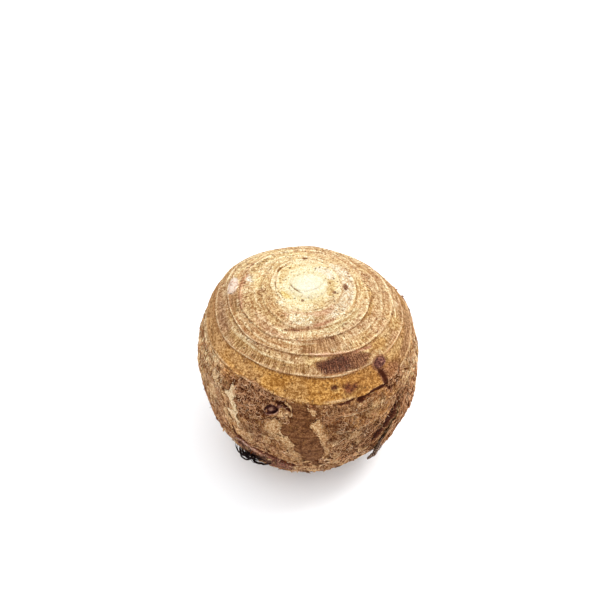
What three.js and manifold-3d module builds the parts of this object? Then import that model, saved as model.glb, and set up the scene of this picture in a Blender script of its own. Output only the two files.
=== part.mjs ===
// A taro corm: one round, ringed root with a cut crown, leaf-scar rings, side buds, husk flaps
// and root stubs, all grown as one piece. Millimetres and degrees, +Z up, resting on z = 0.
// "azimuth" turns about +Z from the front (-Y) toward +X; "polar" runs from the crown (0)
// down to the lower pole (180), both seen from the middle of the body.
import * as THREE from 'three';
import { mergeVertices } from 'three/addons/utils/BufferGeometryUtils.js';
import Module from 'manifold-3d';

// ---------- driving dimensions ----------
const WAIST_RADIUS = 55.2;
const CROWN_HEIGHT = 47.5; // middle of the body to the crown
const BELLY_DEPTH = 60.8; // middle of the body to the lower pole, before it is worn flat
const REST_DEPTH = 59.3; // middle of the body to the flat spot it rests on
const FULLNESS = 2.33; // exponent of the section: 2 is an ellipse, more is boxier
const MIDDLE_BACK = -0.4; // the lopsided body's middle stands this far behind the origin

// Broad swellings and hollows that make the corm a little lopsided.
const SWELLINGS = [
  { azimuth: -127, polar: 54, spread: 24, height: 2.4 },
  { azimuth: 142, polar: 54, spread: 25, height: -1.5 },
  { azimuth: 72, polar: 105, spread: 24, height: 1.2 },
  { azimuth: -65, polar: 111, spread: 24, height: -1.0 },
  { azimuth: 27, polar: 129, spread: 20, height: -1.0 },
  { azimuth: 85, polar: 84, spread: 20, height: -0.8 },
  { azimuth: -96, polar: 70, spread: 16, height: -0.6 },
  { azimuth: 170, polar: 100, spread: 30, height: 1.3 },
];

// Leaf-scar rings. Each one sits at "polar", tips by "lean" toward the azimuth "leanTo", and
// sways twice round by "sway", lowest at "swayTo". "lip" is how far its edge stands out.
const RINGS = [
  { polar: 10.6, lean: 0.5, leanTo: 90, sway: 0.5, swayTo: 90, lip: 0.5 },
  { polar: 19.8, lean: 2.2, leanTo: 180, sway: 1.4, swayTo: 0, lip: 0.35 },
  { polar: 28.5, lean: 1.2, leanTo: 60, sway: 1.4, swayTo: 0, lip: 0.45 },
  { polar: 37.3, lean: 1.3, leanTo: -90, sway: 0.6, swayTo: 90, lip: 0.55 },
  { polar: 46.3, lean: 2.4, leanTo: 100, sway: 1.5, swayTo: 90, lip: 0.8 },
  { polar: 55.2, lean: 1.0, leanTo: 60, sway: 1.5, swayTo: 65, lip: 0.9 },
  { polar: 66.2, lean: 1.5, leanTo: 0, sway: 3.6, swayTo: 45, lip: 0.6 },
  { polar: 76.6, lean: 1.2, leanTo: 60, sway: 1.6, swayTo: 45, lip: 0.7 },
  { polar: 87.5, lean: 1.3, leanTo: -40, sway: 1.2, swayTo: 10, lip: 0.9 },
  { polar: 98.5, lean: 1.5, leanTo: -20, sway: 1.0, swayTo: -60, lip: 1.0 },
  { polar: 110.0, lean: 1.2, leanTo: 150, sway: 1.5, swayTo: 30, lip: 0.9 },
  { polar: 121.5, lean: 1.5, leanTo: 70, sway: 1.0, swayTo: 0, lip: 0.9 },
  { polar: 133.5, lean: 1.0, leanTo: -120, sway: 1.2, swayTo: 80, lip: 0.8 },
  { polar: 147.0, lean: 0.8, leanTo: 0, sway: 0.8, swayTo: 20, lip: 0.5 },
];
const CROWN_DISC_RISE = 0.7; // the cut crown stands this far above its surroundings

// Small ripples of every ring's line, and the rise and fall of its lip as it goes round.
const RING_RIPPLES = [
  { times: 5, height: 0.3, turn: 77 },
  { times: 9, height: 0.2, turn: 131 },
];
const LIP_CHANGES = [
  { times: 3, share: 0.2, turn: 97 },
  { times: 7, share: 0.15, turn: 211 },
];
const LIP_MEAN = 0.8;

// Section of the band between two rings: 0 is the upper ring's line, 1 the lower one's.
const FOOT_END = 0.16; // the groove under the upper ring ends here
const FOOT_DEPTH = 0.45; // depth of that groove, as a share of the ring's lip
const RISE_START = 0.35;
const CREST = 0.9; // the lip of the lower ring is highest here
const CREST_SHARE = 0.65; // height of the crest, as a share of the lower ring's lip
const LAST_BAND_SHARE = 0.4; // the band above the resting flat is this much smoother

// Uneven growth between the rings, as waves round and down the body.
const WAVINESS = 0.15;
const GROWTH_WAVES = [
  { round: 4, down: 9, turn: 0, share: 1 },
  { round: 7, down: -11, turn: 97, share: 1 },
  { round: 11, down: 5, turn: 34, share: 1 },
  { round: 3, down: -17, turn: 166, share: 0.8 },
];

// Buds in the rings: long way round the ring, short way across it.
const BUDS = [
  { azimuth: 44, polar: 57.7, length: 5.6, width: 4.4, height: 2.4 },
  { azimuth: -104, polar: 44, length: 9.5, width: 4.2, height: 1.6 },
  { azimuth: 88, polar: 20.6, length: 3.2, width: 2.4, height: 1.0 },
  { azimuth: 165, polar: 57, length: 6.5, width: 5.0, height: 2.2 },
  { azimuth: -150, polar: 78, length: 7.0, width: 5.4, height: 2.6 },
  { azimuth: 112, polar: 88, length: 6.0, width: 5.0, height: 2.2 },
];
const BUD_SINK = 1.6;
const BUD_PROFILE = [[0.5, 0.1], [0.42, 0.55], [0.22, 0.9], [0, 1]]; // share of length, height
const COLLAR_WIDTH = 2.4; // a collar is this much wider than its bud or scar
const COLLAR_HEIGHT = 2.2;
const COLLAR_SINK = 0.3;

// Sunk scars where a bud or a thick root has come away.
const SCARS = [
  { azimuth: -19, polar: 74, length: 7.0, width: 5.0, depth: 1.3 },
  { azimuth: -9, polar: 70.4, length: 3.4, width: 2.4, depth: 0.9 },
  { azimuth: 135, polar: 101, length: 6.0, width: 4.6, depth: 1.2 },
];

// Husk sheets: strips of old skin that stand above the body, from a sunk root line to a free
// rim. Both lines are [azimuth, polar] points; "lift" is how far the rim stands out.
const HUSKS = [
  {
    root: [[66, 80], [68, 92], [64, 104], [54, 116], [44, 124]],
    rim: [[54, 82], [52.5, 92], [47, 102], [39, 112], [37.5, 127]],
    lift: [0.9, 1.4, 1.5, 1.7, 3.6],
  },
  {
    root: [[-52, 92], [-44, 94], [-33, 97], [-22, 101], [-12, 107]],
    rim: [[-45, 97], [-38, 102], [-29, 105.5], [-19, 109.5], [-9, 114]],
    lift: [0.6, 1.3, 1.4, 1.3, 0.5],
  },
  {
    root: [[-48, 74], [-43, 73], [-37, 74]],
    rim: [[-47, 83], [-42, 86], [-36, 85]],
    lift: [0.6, 1.1, 0.6],
  },
  {
    root: [[0, 76], [5, 75.5], [10, 77]],
    rim: [[-1, 82], [3.5, 86.5], [9, 84]],
    lift: [0.5, 1.0, 0.6],
  },
  {
    root: [[150, 84], [163, 82], [176, 85]],
    rim: [[152, 94], [165, 98], [174, 95]],
    lift: [0.6, 1.4, 0.7],
  },
  {
    root: [[-112, 96], [-100, 94], [-88, 97]],
    rim: [[-110, 107], [-98, 110], [-89, 107]],
    lift: [0.6, 1.5, 0.8],
  },
];
const HUSK_THICKNESS = 1.0;
const HUSK_SINK = 1.6; // how deep the root line lies in the body
const HUSK_CLIMB = [[0, -0.4], [0.35, 0.55], [1, 1]]; // place across the sheet, share of the lift

// The dark tuft of root stubs near the lower edge, and the single stubs under the rings.
const TUFT = { azimuth: -36, polar: 121.5, radius: 6.5, height: 1.1, stubs: 12 };
const TUFT_SPREAD = 0.8; // the outermost stubs stand at this share of the tuft's radius
const TUFT_FAN = 0.08; // lean of a stub for each millimetre from the tuft's middle, in radians
const TUFT_DROOP = 0.6; // lean of the whole tuft down the side, in radians
const TUFT_LENGTHS = [1.2, 2.8];
const STUB_RADIUS = 0.95;
const STUB_TIP = 0.45; // width of a stub's end, as a share of its foot
const STUB_SINK = 2.0;
const STUB_LENGTHS = [0.9, 2.0];
const STUB_WIDTHS = [0.7, 1.2]; // share of the usual radius
const STUB_PLACES = [2.2, 5.2]; // degrees below the ring above
const FIRST_STUB_RING = 6;
const STUB_COUNT = 30;
const STUB_TURN = 137.508; // the golden angle keeps neighbours apart
const SEED = 20817;

// ---------- mesh density ----------
const COLUMNS = 70;
const UPPER_ROWS = [0, FOOT_END, 0.55, CREST]; // places between one ring and the next
const LOWER_ROWS = [0, 0.25, 0.92];
const FIRST_LOWER_RING = 9;
const CROWN_ROWS = [0.35, 0.7, 0.9];
const SMALL_SIDES = 8;
const STUB_SIDES = 4;
const HUSK_STEPS = 7;

const radians = THREE.MathUtils.degToRad;

// Repeatable random numbers between 0 and 1, by the mulberry32 rule.
function makeRandom(seed) {
  let state = seed;
  return () => {
    state = (state + 0x6d2b79f5) | 0;
    let mixed = Math.imul(state ^ (state >>> 15), 1 | state);
    mixed = (mixed + Math.imul(mixed ^ (mixed >>> 7), 61 | mixed)) ^ mixed;
    return ((mixed ^ (mixed >>> 14)) >>> 0) / 4294967296;
  };
}
const random = makeRandom(SEED);

function randomWithin([low, high]) {
  return low + (high - low) * random();
}

function direction(azimuth, polar) {
  const a = radians(azimuth);
  const p = radians(polar);
  return new THREE.Vector3(Math.sin(p) * Math.sin(a), -Math.sin(p) * Math.cos(a), Math.cos(p));
}

const swellings = SWELLINGS.map((s) => ({ ...s, centre: direction(s.azimuth, s.polar) }));

// Radius of the smooth body, without rings, in a direction from its middle.
function bodyRadius(dir) {
  const across = Math.hypot(dir.x, dir.y) / WAIST_RADIUS;
  const along = Math.abs(dir.z) / (dir.z > 0 ? CROWN_HEIGHT : BELLY_DEPTH);
  let radius = (across ** FULLNESS + along ** FULLNESS) ** (-1 / FULLNESS);
  for (const swelling of swellings) {
    const apart = THREE.MathUtils.radToDeg(dir.angleTo(swelling.centre));
    radius += swelling.height * Math.exp(-((apart / swelling.spread) ** 2));
  }
  return radius;
}

// Polar angle of one ring at an azimuth, with a small ripple of its own.
function ringPolar(index, azimuth) {
  const ring = RINGS[index];
  const leaning = ring.lean * Math.cos(radians(azimuth - ring.leanTo));
  const swaying = ring.sway * Math.cos(radians(2 * (azimuth - ring.swayTo)));
  let polar = ring.polar + leaning + swaying;
  for (const ripple of RING_RIPPLES) {
    polar += ripple.height * Math.sin(radians(ripple.times * azimuth + ripple.turn * index));
  }
  return polar;
}

// How strongly a ring's lip shows at an azimuth: it fades and comes back as it goes round.
function lipStrength(index, azimuth) {
  let strength = LIP_MEAN;
  for (const change of LIP_CHANGES) {
    strength += change.share * Math.sin(radians(change.times * azimuth + change.turn * index));
  }
  return RINGS[index].lip * strength;
}

// Relief of the band between two rings: a foot in the groove under the upper ring, then a
// slow rise to the lip of the lower one.
function bandRelief(index, fraction, azimuth) {
  const foot = FOOT_DEPTH * Math.max(0, 1 - fraction / FOOT_END);
  const next = Math.min(index + 1, RINGS.length - 1);
  const rise = CREST_SHARE * THREE.MathUtils.smoothstep(fraction, RISE_START, CREST);
  const fall = Math.min(1, (1 - fraction) / (1 - CREST));
  return rise * fall * lipStrength(next, azimuth) - foot * lipStrength(index, azimuth);
}

function growthRelief(azimuth, polar) {
  let height = 0;
  for (const wave of GROWTH_WAVES) {
    const phase = wave.round * azimuth + wave.down * polar + wave.turn;
    height += wave.share * Math.sin(radians(phase));
  }
  return WAVINESS * height * Math.sin(radians(polar)) ** 2;
}

const middle = new THREE.Vector3(0, MIDDLE_BACK, REST_DEPTH);

// Point on the skin, or "extra" millimetres above it.
function skinPoint(azimuth, polar, extra = 0) {
  const dir = direction(azimuth, polar);
  const radius = bodyRadius(dir) + growthRelief(azimuth, polar) + extra;
  return dir.multiplyScalar(radius).add(middle);
}

// Polar angle at which the body's smooth skin meets the resting flat.
const restRadius = WAIST_RADIUS
  * (1 - (REST_DEPTH / BELLY_DEPTH) ** FULLNESS) ** (1 / FULLNESS);
const REST_POLAR = 180 - THREE.MathUtils.radToDeg(Math.atan(restRadius / REST_DEPTH));

// One row of the skin: its polar angle and its relief, each as a function of azimuth.
function skinRows() {
  const rows = CROWN_ROWS.map((share) => ({
    polar: (azimuth) => share * ringPolar(0, azimuth),
    relief: () => CROWN_DISC_RISE,
  }));
  for (let index = 0; index < RINGS.length; index += 1) {
    const shares = index < FIRST_LOWER_RING ? UPPER_ROWS : LOWER_ROWS;
    const next = (azimuth) => (
      index + 1 < RINGS.length ? ringPolar(index + 1, azimuth) : REST_POLAR
    );
    const fade = index + 1 < RINGS.length ? 1 : LAST_BAND_SHARE;
    for (const share of shares) {
      rows.push({
        polar: (azimuth) => THREE.MathUtils.lerp(ringPolar(index, azimuth), next(azimuth), share),
        relief: (azimuth) => fade * bandRelief(index, share, azimuth),
      });
    }
  }
  return rows;
}

// The whole skin as one closed surface: a fan at the crown, bands of quads, and the flat.
function skinGeometry() {
  const rows = skinRows();
  const points = [skinPoint(0, 0, CROWN_DISC_RISE)];
  for (const row of rows) {
    for (let column = 0; column < COLUMNS; column += 1) {
      const azimuth = (360 * column) / COLUMNS;
      points.push(skinPoint(azimuth, row.polar(azimuth), row.relief(azimuth)));
    }
  }
  for (let column = 0; column < COLUMNS; column += 1) {
    const angle = radians((360 * column) / COLUMNS);
    points.push(new THREE.Vector3(
      restRadius * Math.sin(angle),
      MIDDLE_BACK - restRadius * Math.cos(angle),
      0,
    ));
  }
  const lowest = points.length;
  points.push(new THREE.Vector3(0, MIDDLE_BACK, 0));
  const faces = [];
  const at = (row, column) => 1 + row * COLUMNS + (column % COLUMNS);
  for (let column = 0; column < COLUMNS; column += 1) {
    faces.push(0, at(0, column), at(0, column + 1));
    for (let row = 0; row < rows.length; row += 1) {
      const here = at(row, column);
      const beside = at(row, column + 1);
      const under = at(row + 1, column);
      const across = at(row + 1, column + 1);
      faces.push(here, under, across, here, across, beside);
    }
    faces.push(lowest, at(rows.length, column + 1), at(rows.length, column));
  }
  const geometry = new THREE.BufferGeometry().setFromPoints(points);
  geometry.setIndex(faces);
  return geometry;
}

// Frame on the skin: x round the ring, y straight out, z down the side.
function skinFrame(azimuth, polar, extra = 0) {
  const step = 0.5;
  const place = skinPoint(azimuth, polar, extra);
  const round = skinPoint(azimuth + step, polar).sub(skinPoint(azimuth - step, polar)).normalize();
  const down = skinPoint(azimuth, polar + step).sub(skinPoint(azimuth, polar - step)).normalize();
  const out = down.clone().cross(round).normalize();
  return new THREE.Matrix4().makeBasis(round, out, round.clone().cross(out)).setPosition(place);
}

// A bud: a low scaled dome on the skin with its root sunk in it.
function budGeometry(bud) {
  const dome = BUD_PROFILE.map(([radius, height]) => (
    new THREE.Vector2(radius, height * bud.height)
  ));
  const root = [new THREE.Vector2(0, -BUD_SINK), new THREE.Vector2(BUD_PROFILE[0][0], -BUD_SINK)];
  return new THREE.LatheGeometry([...root, ...dome], SMALL_SIDES)
    .scale(bud.length, 1, bud.width)
    .applyMatrix4(skinFrame(bud.azimuth, bud.polar));
}

// The low collar round a bud or a scar.
function collarGeometry(spot) {
  return new THREE.SphereGeometry(0.5, SMALL_SIDES, 6)
    .scale(spot.length + COLLAR_WIDTH, COLLAR_HEIGHT, spot.width + COLLAR_WIDTH)
    .applyMatrix4(skinFrame(spot.azimuth, spot.polar, -COLLAR_SINK));
}

// The hollow that a scar leaves in its collar.

function scarHollow(scar) {
  return new THREE.SphereGeometry(0.5, SMALL_SIDES, 6)
    .scale(scar.length, 2 * scar.depth, scar.width)
    .applyMatrix4(skinFrame(scar.azimuth, scar.polar, COLLAR_HEIGHT / 2 - COLLAR_SINK));
}

// Smooth line through [azimuth, polar, lift] points, read at a share of its length.
function lineThrough(points) {
  const corners = points.map(([azimuth, polar, lift = 0]) => (
    new THREE.Vector3(azimuth, polar, lift)
  ));
  const curve = new THREE.CatmullRomCurve3(corners);
  return (share) => curve.getPoint(share);
}

// A husk sheet: an outer face that climbs from under the skin to the lifted rim, and an
// inner face below it, closed along all four sides.
function huskGeometry(husk) {
  const root = lineThrough(husk.root);
  const rim = lineThrough(husk.rim.map(([azimuth, polar], k) => [azimuth, polar, husk.lift[k]]));
  const points = [];
  for (let step = 0; step <= HUSK_STEPS; step += 1) {
    const from = root(step / HUSK_STEPS);
    const to = rim(step / HUSK_STEPS);
    const outer = HUSK_CLIMB.map(([share, rise]) => skinPoint(
      THREE.MathUtils.lerp(from.x, to.x, share),
      THREE.MathUtils.lerp(from.y, to.y, share),
      rise * to.z,
    ));
    const inner = HUSK_CLIMB.map(([share, rise]) => skinPoint(
      THREE.MathUtils.lerp(from.x, to.x, share),
      THREE.MathUtils.lerp(from.y, to.y, share),
      share < 1 ? -HUSK_SINK : rise * to.z - HUSK_THICKNESS,
    ));
    points.push(...outer, ...inner.reverse());
  }
  return closedLoft(points, 2 * HUSK_CLIMB.length);
}

// Closed solid from equal loops of points laid one after another.
function closedLoft(points, loopSize) {
  const loops = points.length / loopSize;
  const faces = [];
  for (let loop = 0; loop + 1 < loops; loop += 1) {
    for (let k = 0; k < loopSize; k += 1) {
      const a = loop * loopSize + k;
      const b = loop * loopSize + ((k + 1) % loopSize);
      faces.push(a, b, b + loopSize, a, b + loopSize, a + loopSize);
    }
  }
  const last = (loops - 1) * loopSize;
  for (let k = 0; k + 1 < loopSize / 2; k += 1) {
    const far = loopSize - 1 - k;
    faces.push(k, far, k + 1, k + 1, far, far - 1);
    faces.push(last + k, last + k + 1, last + far, last + k + 1, last + far - 1, last + far);
  }
  const geometry = new THREE.BufferGeometry().setFromPoints(points);
  geometry.setIndex(faces);
  return geometry;
}

// A broken root: a blunt cone that leans away from straight out of the skin.
function stubGeometry(frame, length, radius, leanRound, leanDown) {
  const cone = new THREE.CylinderGeometry(STUB_TIP * radius, radius, length + STUB_SINK, STUB_SIDES);
  const lean = new THREE.Matrix4().makeRotationFromEuler(new THREE.Euler(leanDown, 0, -leanRound));
  return cone
    .translate(0, (length - STUB_SINK) / 2, 0)
    .applyMatrix4(lean)
    .applyMatrix4(frame);
}

function tuftGeometries() {
  const dome = new THREE.SphereGeometry(TUFT.radius, SMALL_SIDES, 6)
    .scale(1, TUFT.height / TUFT.radius, 0.75)
    .applyMatrix4(skinFrame(TUFT.azimuth, TUFT.polar));
  const pieces = [dome];
  const degreesPerMillimetre = THREE.MathUtils.radToDeg(1 / WAIST_RADIUS);
  for (let k = 0; k < TUFT.stubs; k += 1) {
    const turn = radians(k * STUB_TURN);
    const reach = TUFT_SPREAD * TUFT.radius * Math.sqrt((k + 0.5) / TUFT.stubs);
    const across = reach * Math.sin(turn);
    const below = reach * Math.cos(turn);
    const azimuth = TUFT.azimuth
      + (across * degreesPerMillimetre) / Math.sin(radians(TUFT.polar));
    const polar = TUFT.polar + below * degreesPerMillimetre;
    const leanRound = TUFT_FAN * across + randomWithin([-0.25, 0.25]);
    const leanDown = TUFT_DROOP + TUFT_FAN * below + randomWithin([-0.2, 0.2]);
    const frame = skinFrame(azimuth, polar);
    const length = randomWithin(TUFT_LENGTHS) + TUFT.height;
    pieces.push(stubGeometry(frame, length, STUB_RADIUS, leanRound, leanDown));
  }
  return pieces;
}

// Single stubs, each in the groove just under a ring of the lower half.
function stubGeometries() {
  const pieces = [];
  const ringsUsed = RINGS.length - 1 - FIRST_STUB_RING;
  for (let k = 0; k < STUB_COUNT; k += 1) {
    const azimuth = k * STUB_TURN;
    const ring = FIRST_STUB_RING + (k % ringsUsed);
    const polar = ringPolar(ring, azimuth) + randomWithin(STUB_PLACES);
    const length = randomWithin(STUB_LENGTHS);
    const radius = STUB_RADIUS * randomWithin(STUB_WIDTHS);
    const leanRound = randomWithin([-0.5, 0.5]);
    const leanDown = randomWithin([0, 0.5]);
    const frame = skinFrame(azimuth, polar);
    pieces.push(stubGeometry(frame, length, radius, leanRound, leanDown));
  }
  return pieces;
}

// ---------- joining ----------
const wasm = await Module();
wasm.setup();

function solidFrom(geometry) {
  geometry.deleteAttribute('normal');
  geometry.deleteAttribute('uv');
  const merged = mergeVertices(geometry, 1e-4);
  return new wasm.Manifold(new wasm.Mesh({
    numProp: 3,
    vertProperties: merged.attributes.position.array,
    triVerts: Uint32Array.from(merged.index.array),
  }));
}

function geometryFrom(solid) {
  const mesh = solid.getMesh();
  const geometry = new THREE.BufferGeometry();
  geometry.setAttribute('position', new THREE.BufferAttribute(mesh.vertProperties, 3));
  geometry.setIndex(new THREE.BufferAttribute(mesh.triVerts, 1));
  geometry.computeVertexNormals();
  return geometry;
}

function buildCorm() {
  let corm = solidFrom(skinGeometry());
  const added = [
    ...HUSKS.map(huskGeometry),
    ...[...SCARS, ...BUDS].map(collarGeometry),
    ...BUDS.map(budGeometry),
    ...tuftGeometries(),
    ...stubGeometries(),
  ];
  for (const geometry of added) {
    corm = corm.add(solidFrom(geometry));
  }
  for (const scar of SCARS) {
    corm = corm.subtract(solidFrom(scarHollow(scar)));
  }
  const material = new THREE.MeshStandardMaterial({
    color: 0x9c7546,
    roughness: 0.85,
    metalness: 0,
  });
  const mesh = new THREE.Mesh(geometryFrom(corm), material);
  mesh.name = 'corm';
  return mesh;
}

const taro = new THREE.Group();
taro.add(buildCorm());

export default taro;
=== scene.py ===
import math

import bpy
import numpy as np
from mathutils import Matrix, Vector


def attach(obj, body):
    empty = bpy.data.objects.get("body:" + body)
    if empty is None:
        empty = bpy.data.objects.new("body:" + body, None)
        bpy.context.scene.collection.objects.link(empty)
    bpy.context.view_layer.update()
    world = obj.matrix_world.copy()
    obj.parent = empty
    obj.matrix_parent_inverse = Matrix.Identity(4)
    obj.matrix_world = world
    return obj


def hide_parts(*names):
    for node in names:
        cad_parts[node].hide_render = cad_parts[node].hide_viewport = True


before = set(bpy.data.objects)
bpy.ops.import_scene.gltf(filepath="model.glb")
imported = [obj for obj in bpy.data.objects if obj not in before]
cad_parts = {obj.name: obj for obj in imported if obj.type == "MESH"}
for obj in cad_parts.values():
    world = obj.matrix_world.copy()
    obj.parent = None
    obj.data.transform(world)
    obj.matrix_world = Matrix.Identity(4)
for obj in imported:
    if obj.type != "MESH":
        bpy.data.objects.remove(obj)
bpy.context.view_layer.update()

# A taro corm: the finished skin round the fixed solid, with its buds, husk sheets, flakes,
# fibres and root tuft. Lengths are worked out in millimetres and turned to metres when a
# mesh is made. "azimuth" turns from the front (-Y) toward +X, "polar" runs from the crown
# (0) to the lower pole (180), both in degrees, seen from the middle of the body.

MM = 0.001

# ---------- the body, as in the solid ----------
WAIST_RADIUS = 55.2
CROWN_HEIGHT = 47.5
BELLY_DEPTH = 60.8
REST_DEPTH = 59.3
FULLNESS = 2.33
MIDDLE = np.array([0.0, -0.4, REST_DEPTH])
DEGREE = math.radians(1) * WAIST_RADIUS  # millimetres of skin in one degree at the waist
RING_SPACING = 9.6  # millimetres from one ring to the next, about

SWELLINGS = [  # azimuth, polar, spread, height
    (-127, 54, 24, 2.4),
    (142, 54, 25, -1.5),
    (72, 105, 24, 1.2),
    (-65, 111, 24, -1.0),
    (27, 129, 20, -1.0),
    (85, 84, 20, -0.8),
    (-96, 70, 16, -0.6),
    (170, 100, 30, 1.3),
]
RINGS = [  # polar, lean, lean to, sway, sway to, lip
    (10.6, 0.5, 90, 0.5, 90, 0.5),
    (19.8, 2.2, 180, 1.4, 0, 0.35),
    (28.5, 1.2, 60, 1.4, 0, 0.45),
    (37.3, 1.3, -90, 0.6, 90, 0.55),
    (46.3, 2.4, 100, 1.5, 90, 0.8),
    (55.2, 1.0, 60, 1.5, 65, 0.9),
    (66.2, 1.5, 0, 3.6, 45, 0.6),
    (76.6, 1.2, 60, 1.6, 45, 0.7),
    (87.5, 1.3, -40, 1.2, 10, 0.9),
    (98.5, 1.5, -20, 1.0, -60, 1.0),
    (110.0, 1.2, 150, 1.5, 30, 0.9),
    (121.5, 1.5, 70, 1.0, 0, 0.9),
    (133.5, 1.0, -120, 1.2, 80, 0.8),
    (147.0, 0.8, 0, 0.8, 20, 0.5),
]
RING_RIPPLES = [(5, 0.3, 77), (9, 0.2, 131)]  # times round, height, turn per ring
LIP_CHANGES = [(3, 0.2, 97), (7, 0.15, 211)]
LIP_MEAN = 0.8
CROWN_DISC_RISE = 0.7
WAVINESS = 0.15
GROWTH_WAVES = [(4, 9, 0, 1), (7, -11, 97, 1), (11, 5, 34, 1), (3, -17, 166, 0.8)]

# ---------- light and colour ----------
# Colours are written as the eye sees them under the soft lights; LIGHT_LEVEL is how much
# brighter than its own colour a lit surface looks there.
LIGHT_LEVEL = 1.8
SKY_STRENGTH = 1.48
KEY_PLACE = (0.42, 0.18, 0.82)
KEY_SIZE = 0.5
KEY_POWER = 5.15

# ---------- the camera of the reference view ----------
SIGHT_ELEVATION = 47.5  # of the line from the camera to the middle of the body
SIGHT_DISTANCE = 560.0
FRAME_PIXELS = 600
FOCAL_PIXELS = 1093.0
MIDDLE_PIXEL = (307.7, 352.1)  # where the middle of the body lies in the frame
SENSOR_WIDTH = 36.0

SEED = 4711


# ---------- numbers ----------
def sind(angle):
    """Sine of an angle in degrees."""
    return np.sin(np.radians(angle))


def cosd(angle):
    """Cosine of an angle in degrees."""
    return np.cos(np.radians(angle))


def smoothstep(value, low, high):
    """0 at low and 1 at high, with a soft start and end; high may be the smaller one."""
    share = np.clip((value - low) / (high - low), 0, 1)
    return share * share * (3 - 2 * share)


def lattice_hash(cells, seed):
    """Pseudo-random numbers from 0 to 1 for whole-number cells."""
    cells = cells.astype(np.int64)
    mixed = cells[..., 0] * 374761393 + cells[..., 1] * 668265263 + cells[..., 2] * 2147483647
    mixed = (mixed + seed * 974634777) & 0xFFFFFFFF
    mixed = ((mixed ^ (mixed >> 13)) * 1274126177) & 0xFFFFFFFF
    mixed = ((mixed ^ (mixed >> 16)) * 2246822519) & 0xFFFFFFFF
    return ((mixed ^ (mixed >> 15)) & 0xFFFFFF) / float(0xFFFFFF)


NOISE_TURN = np.array(Matrix.Rotation(0.7, 3, Vector((0.3, 0.8, 0.5))))


def noise(points, size, seed):
    """Smooth noise from -1 to 1 with features of about the given size."""
    scaled = points @ NOISE_TURN / size
    cell = np.floor(scaled)
    share = scaled - cell
    share = share * share * (3 - 2 * share)
    total = np.zeros(points.shape[:-1])
    for corner in np.ndindex(2, 2, 2):
        offset = np.array(corner)
        weight = np.prod(np.where(offset == 1, share, 1 - share), axis=-1)
        total += weight * lattice_hash(cell + offset, seed)
    return 2 * total - 1


def fractal(points, size, seed, octaves=3, gain=0.5):
    """Noise summed over octaves, each of half the size of the one before."""
    total, weight, reach = 0, 1.0, 0.0
    for octave in range(octaves):
        total = total + weight * noise(points, size / 2**octave, seed + 31 * octave)
        reach += weight
        weight *= gain
    return total / reach


# ---------- the skin as a function of azimuth and polar ----------
def direction(azimuth, polar):
    """Unit vector from the middle of the body toward a spot."""
    return np.stack(
        [sind(polar) * sind(azimuth), -sind(polar) * cosd(azimuth), cosd(polar)], axis=-1
    )


def body_radius(dirs):
    """Radius of the smooth, lopsided body in the given directions."""
    across = np.hypot(dirs[..., 0], dirs[..., 1]) / WAIST_RADIUS
    limit = np.where(dirs[..., 2] > 0, CROWN_HEIGHT, BELLY_DEPTH)
    along = np.abs(dirs[..., 2]) / limit
    radius = (across**FULLNESS + along**FULLNESS) ** (-1 / FULLNESS)
    for azimuth, polar, spread, height in SWELLINGS:
        toward = np.clip(dirs @ direction(azimuth, polar), -1, 1)
        radius = radius + height * np.exp(-((np.degrees(np.arccos(toward)) / spread) ** 2))
    return radius


def ring_polar(index, azimuth):
    """Polar angle of one ring, which leans, sways and ripples round the body."""
    polar, lean, lean_to, sway, sway_to, _ = RINGS[index]
    line = polar + lean * cosd(azimuth - lean_to) + sway * cosd(2 * (azimuth - sway_to))
    for times, height, turn in RING_RIPPLES:
        line = line + height * sind(times * azimuth + turn * index)
    return line


def lip_strength(index, azimuth):
    """How strong the lip of one ring is, all round the body."""
    strength = LIP_MEAN
    for times, share, turn in LIP_CHANGES:
        strength = strength + share * sind(times * azimuth + turn * index)
    return RINGS[index][5] * strength


REST_RADIUS = WAIST_RADIUS * (1 - (REST_DEPTH / BELLY_DEPTH) ** FULLNESS) ** (1 / FULLNESS)
REST_POLAR = 180 - math.degrees(math.atan(REST_RADIUS / REST_DEPTH))
LAST = len(RINGS)  # ring coordinate of the resting flat's edge


def ring_lines(azimuth):
    """Polar angle of the crown, every ring, the flat's edge and the pole, stacked last."""
    azimuth = np.asarray(azimuth, float)
    lines = [np.zeros_like(azimuth)]
    lines += [ring_polar(index, azimuth) for index in range(LAST)]
    lines += [np.full_like(azimuth, REST_POLAR), np.full_like(azimuth, 180.0)]
    return np.stack(lines, axis=-1)


def ring_coordinate(azimuth, polar):
    """-1 at the crown, 0 at the first ring, 1 at the next, and so on down the body."""
    lines = ring_lines(azimuth)
    index = np.clip((polar[..., None] >= lines).sum(-1) - 1, 0, LAST + 1)
    above = np.take_along_axis(lines, index[..., None], -1)[..., 0]
    below = np.take_along_axis(lines, index[..., None] + 1, -1)[..., 0]
    return index - 1 + (polar - above) / (below - above)


def polar_of(azimuth, ring):
    """The polar angle of a ring coordinate."""
    lines = ring_lines(azimuth)
    index = np.clip(np.floor(ring).astype(int) + 1, 0, LAST + 1)
    above = np.take_along_axis(lines, index[..., None], -1)[..., 0]
    below = np.take_along_axis(lines, index[..., None] + 1, -1)[..., 0]
    return above + (ring + 1 - index) * (below - above)


def growth(azimuth, polar):
    """Slow waves of the grown surface, in millimetres."""
    height = 0
    for around, down, turn, share in GROWTH_WAVES:
        height = height + share * sind(around * azimuth + down * polar + turn)
    return WAVINESS * height * sind(polar) ** 2


def turned(azimuth, centre):
    """Azimuth difference, from -180 to 180."""
    return (azimuth - centre + 180) % 360 - 180


def apart(azimuth, polar, centre_azimuth, centre_polar):
    """Millimetres round and down from a spot on the skin."""
    across = turned(azimuth, centre_azimuth) * DEGREE * sind(centre_polar)
    return across, (polar - centre_polar) * DEGREE


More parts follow.
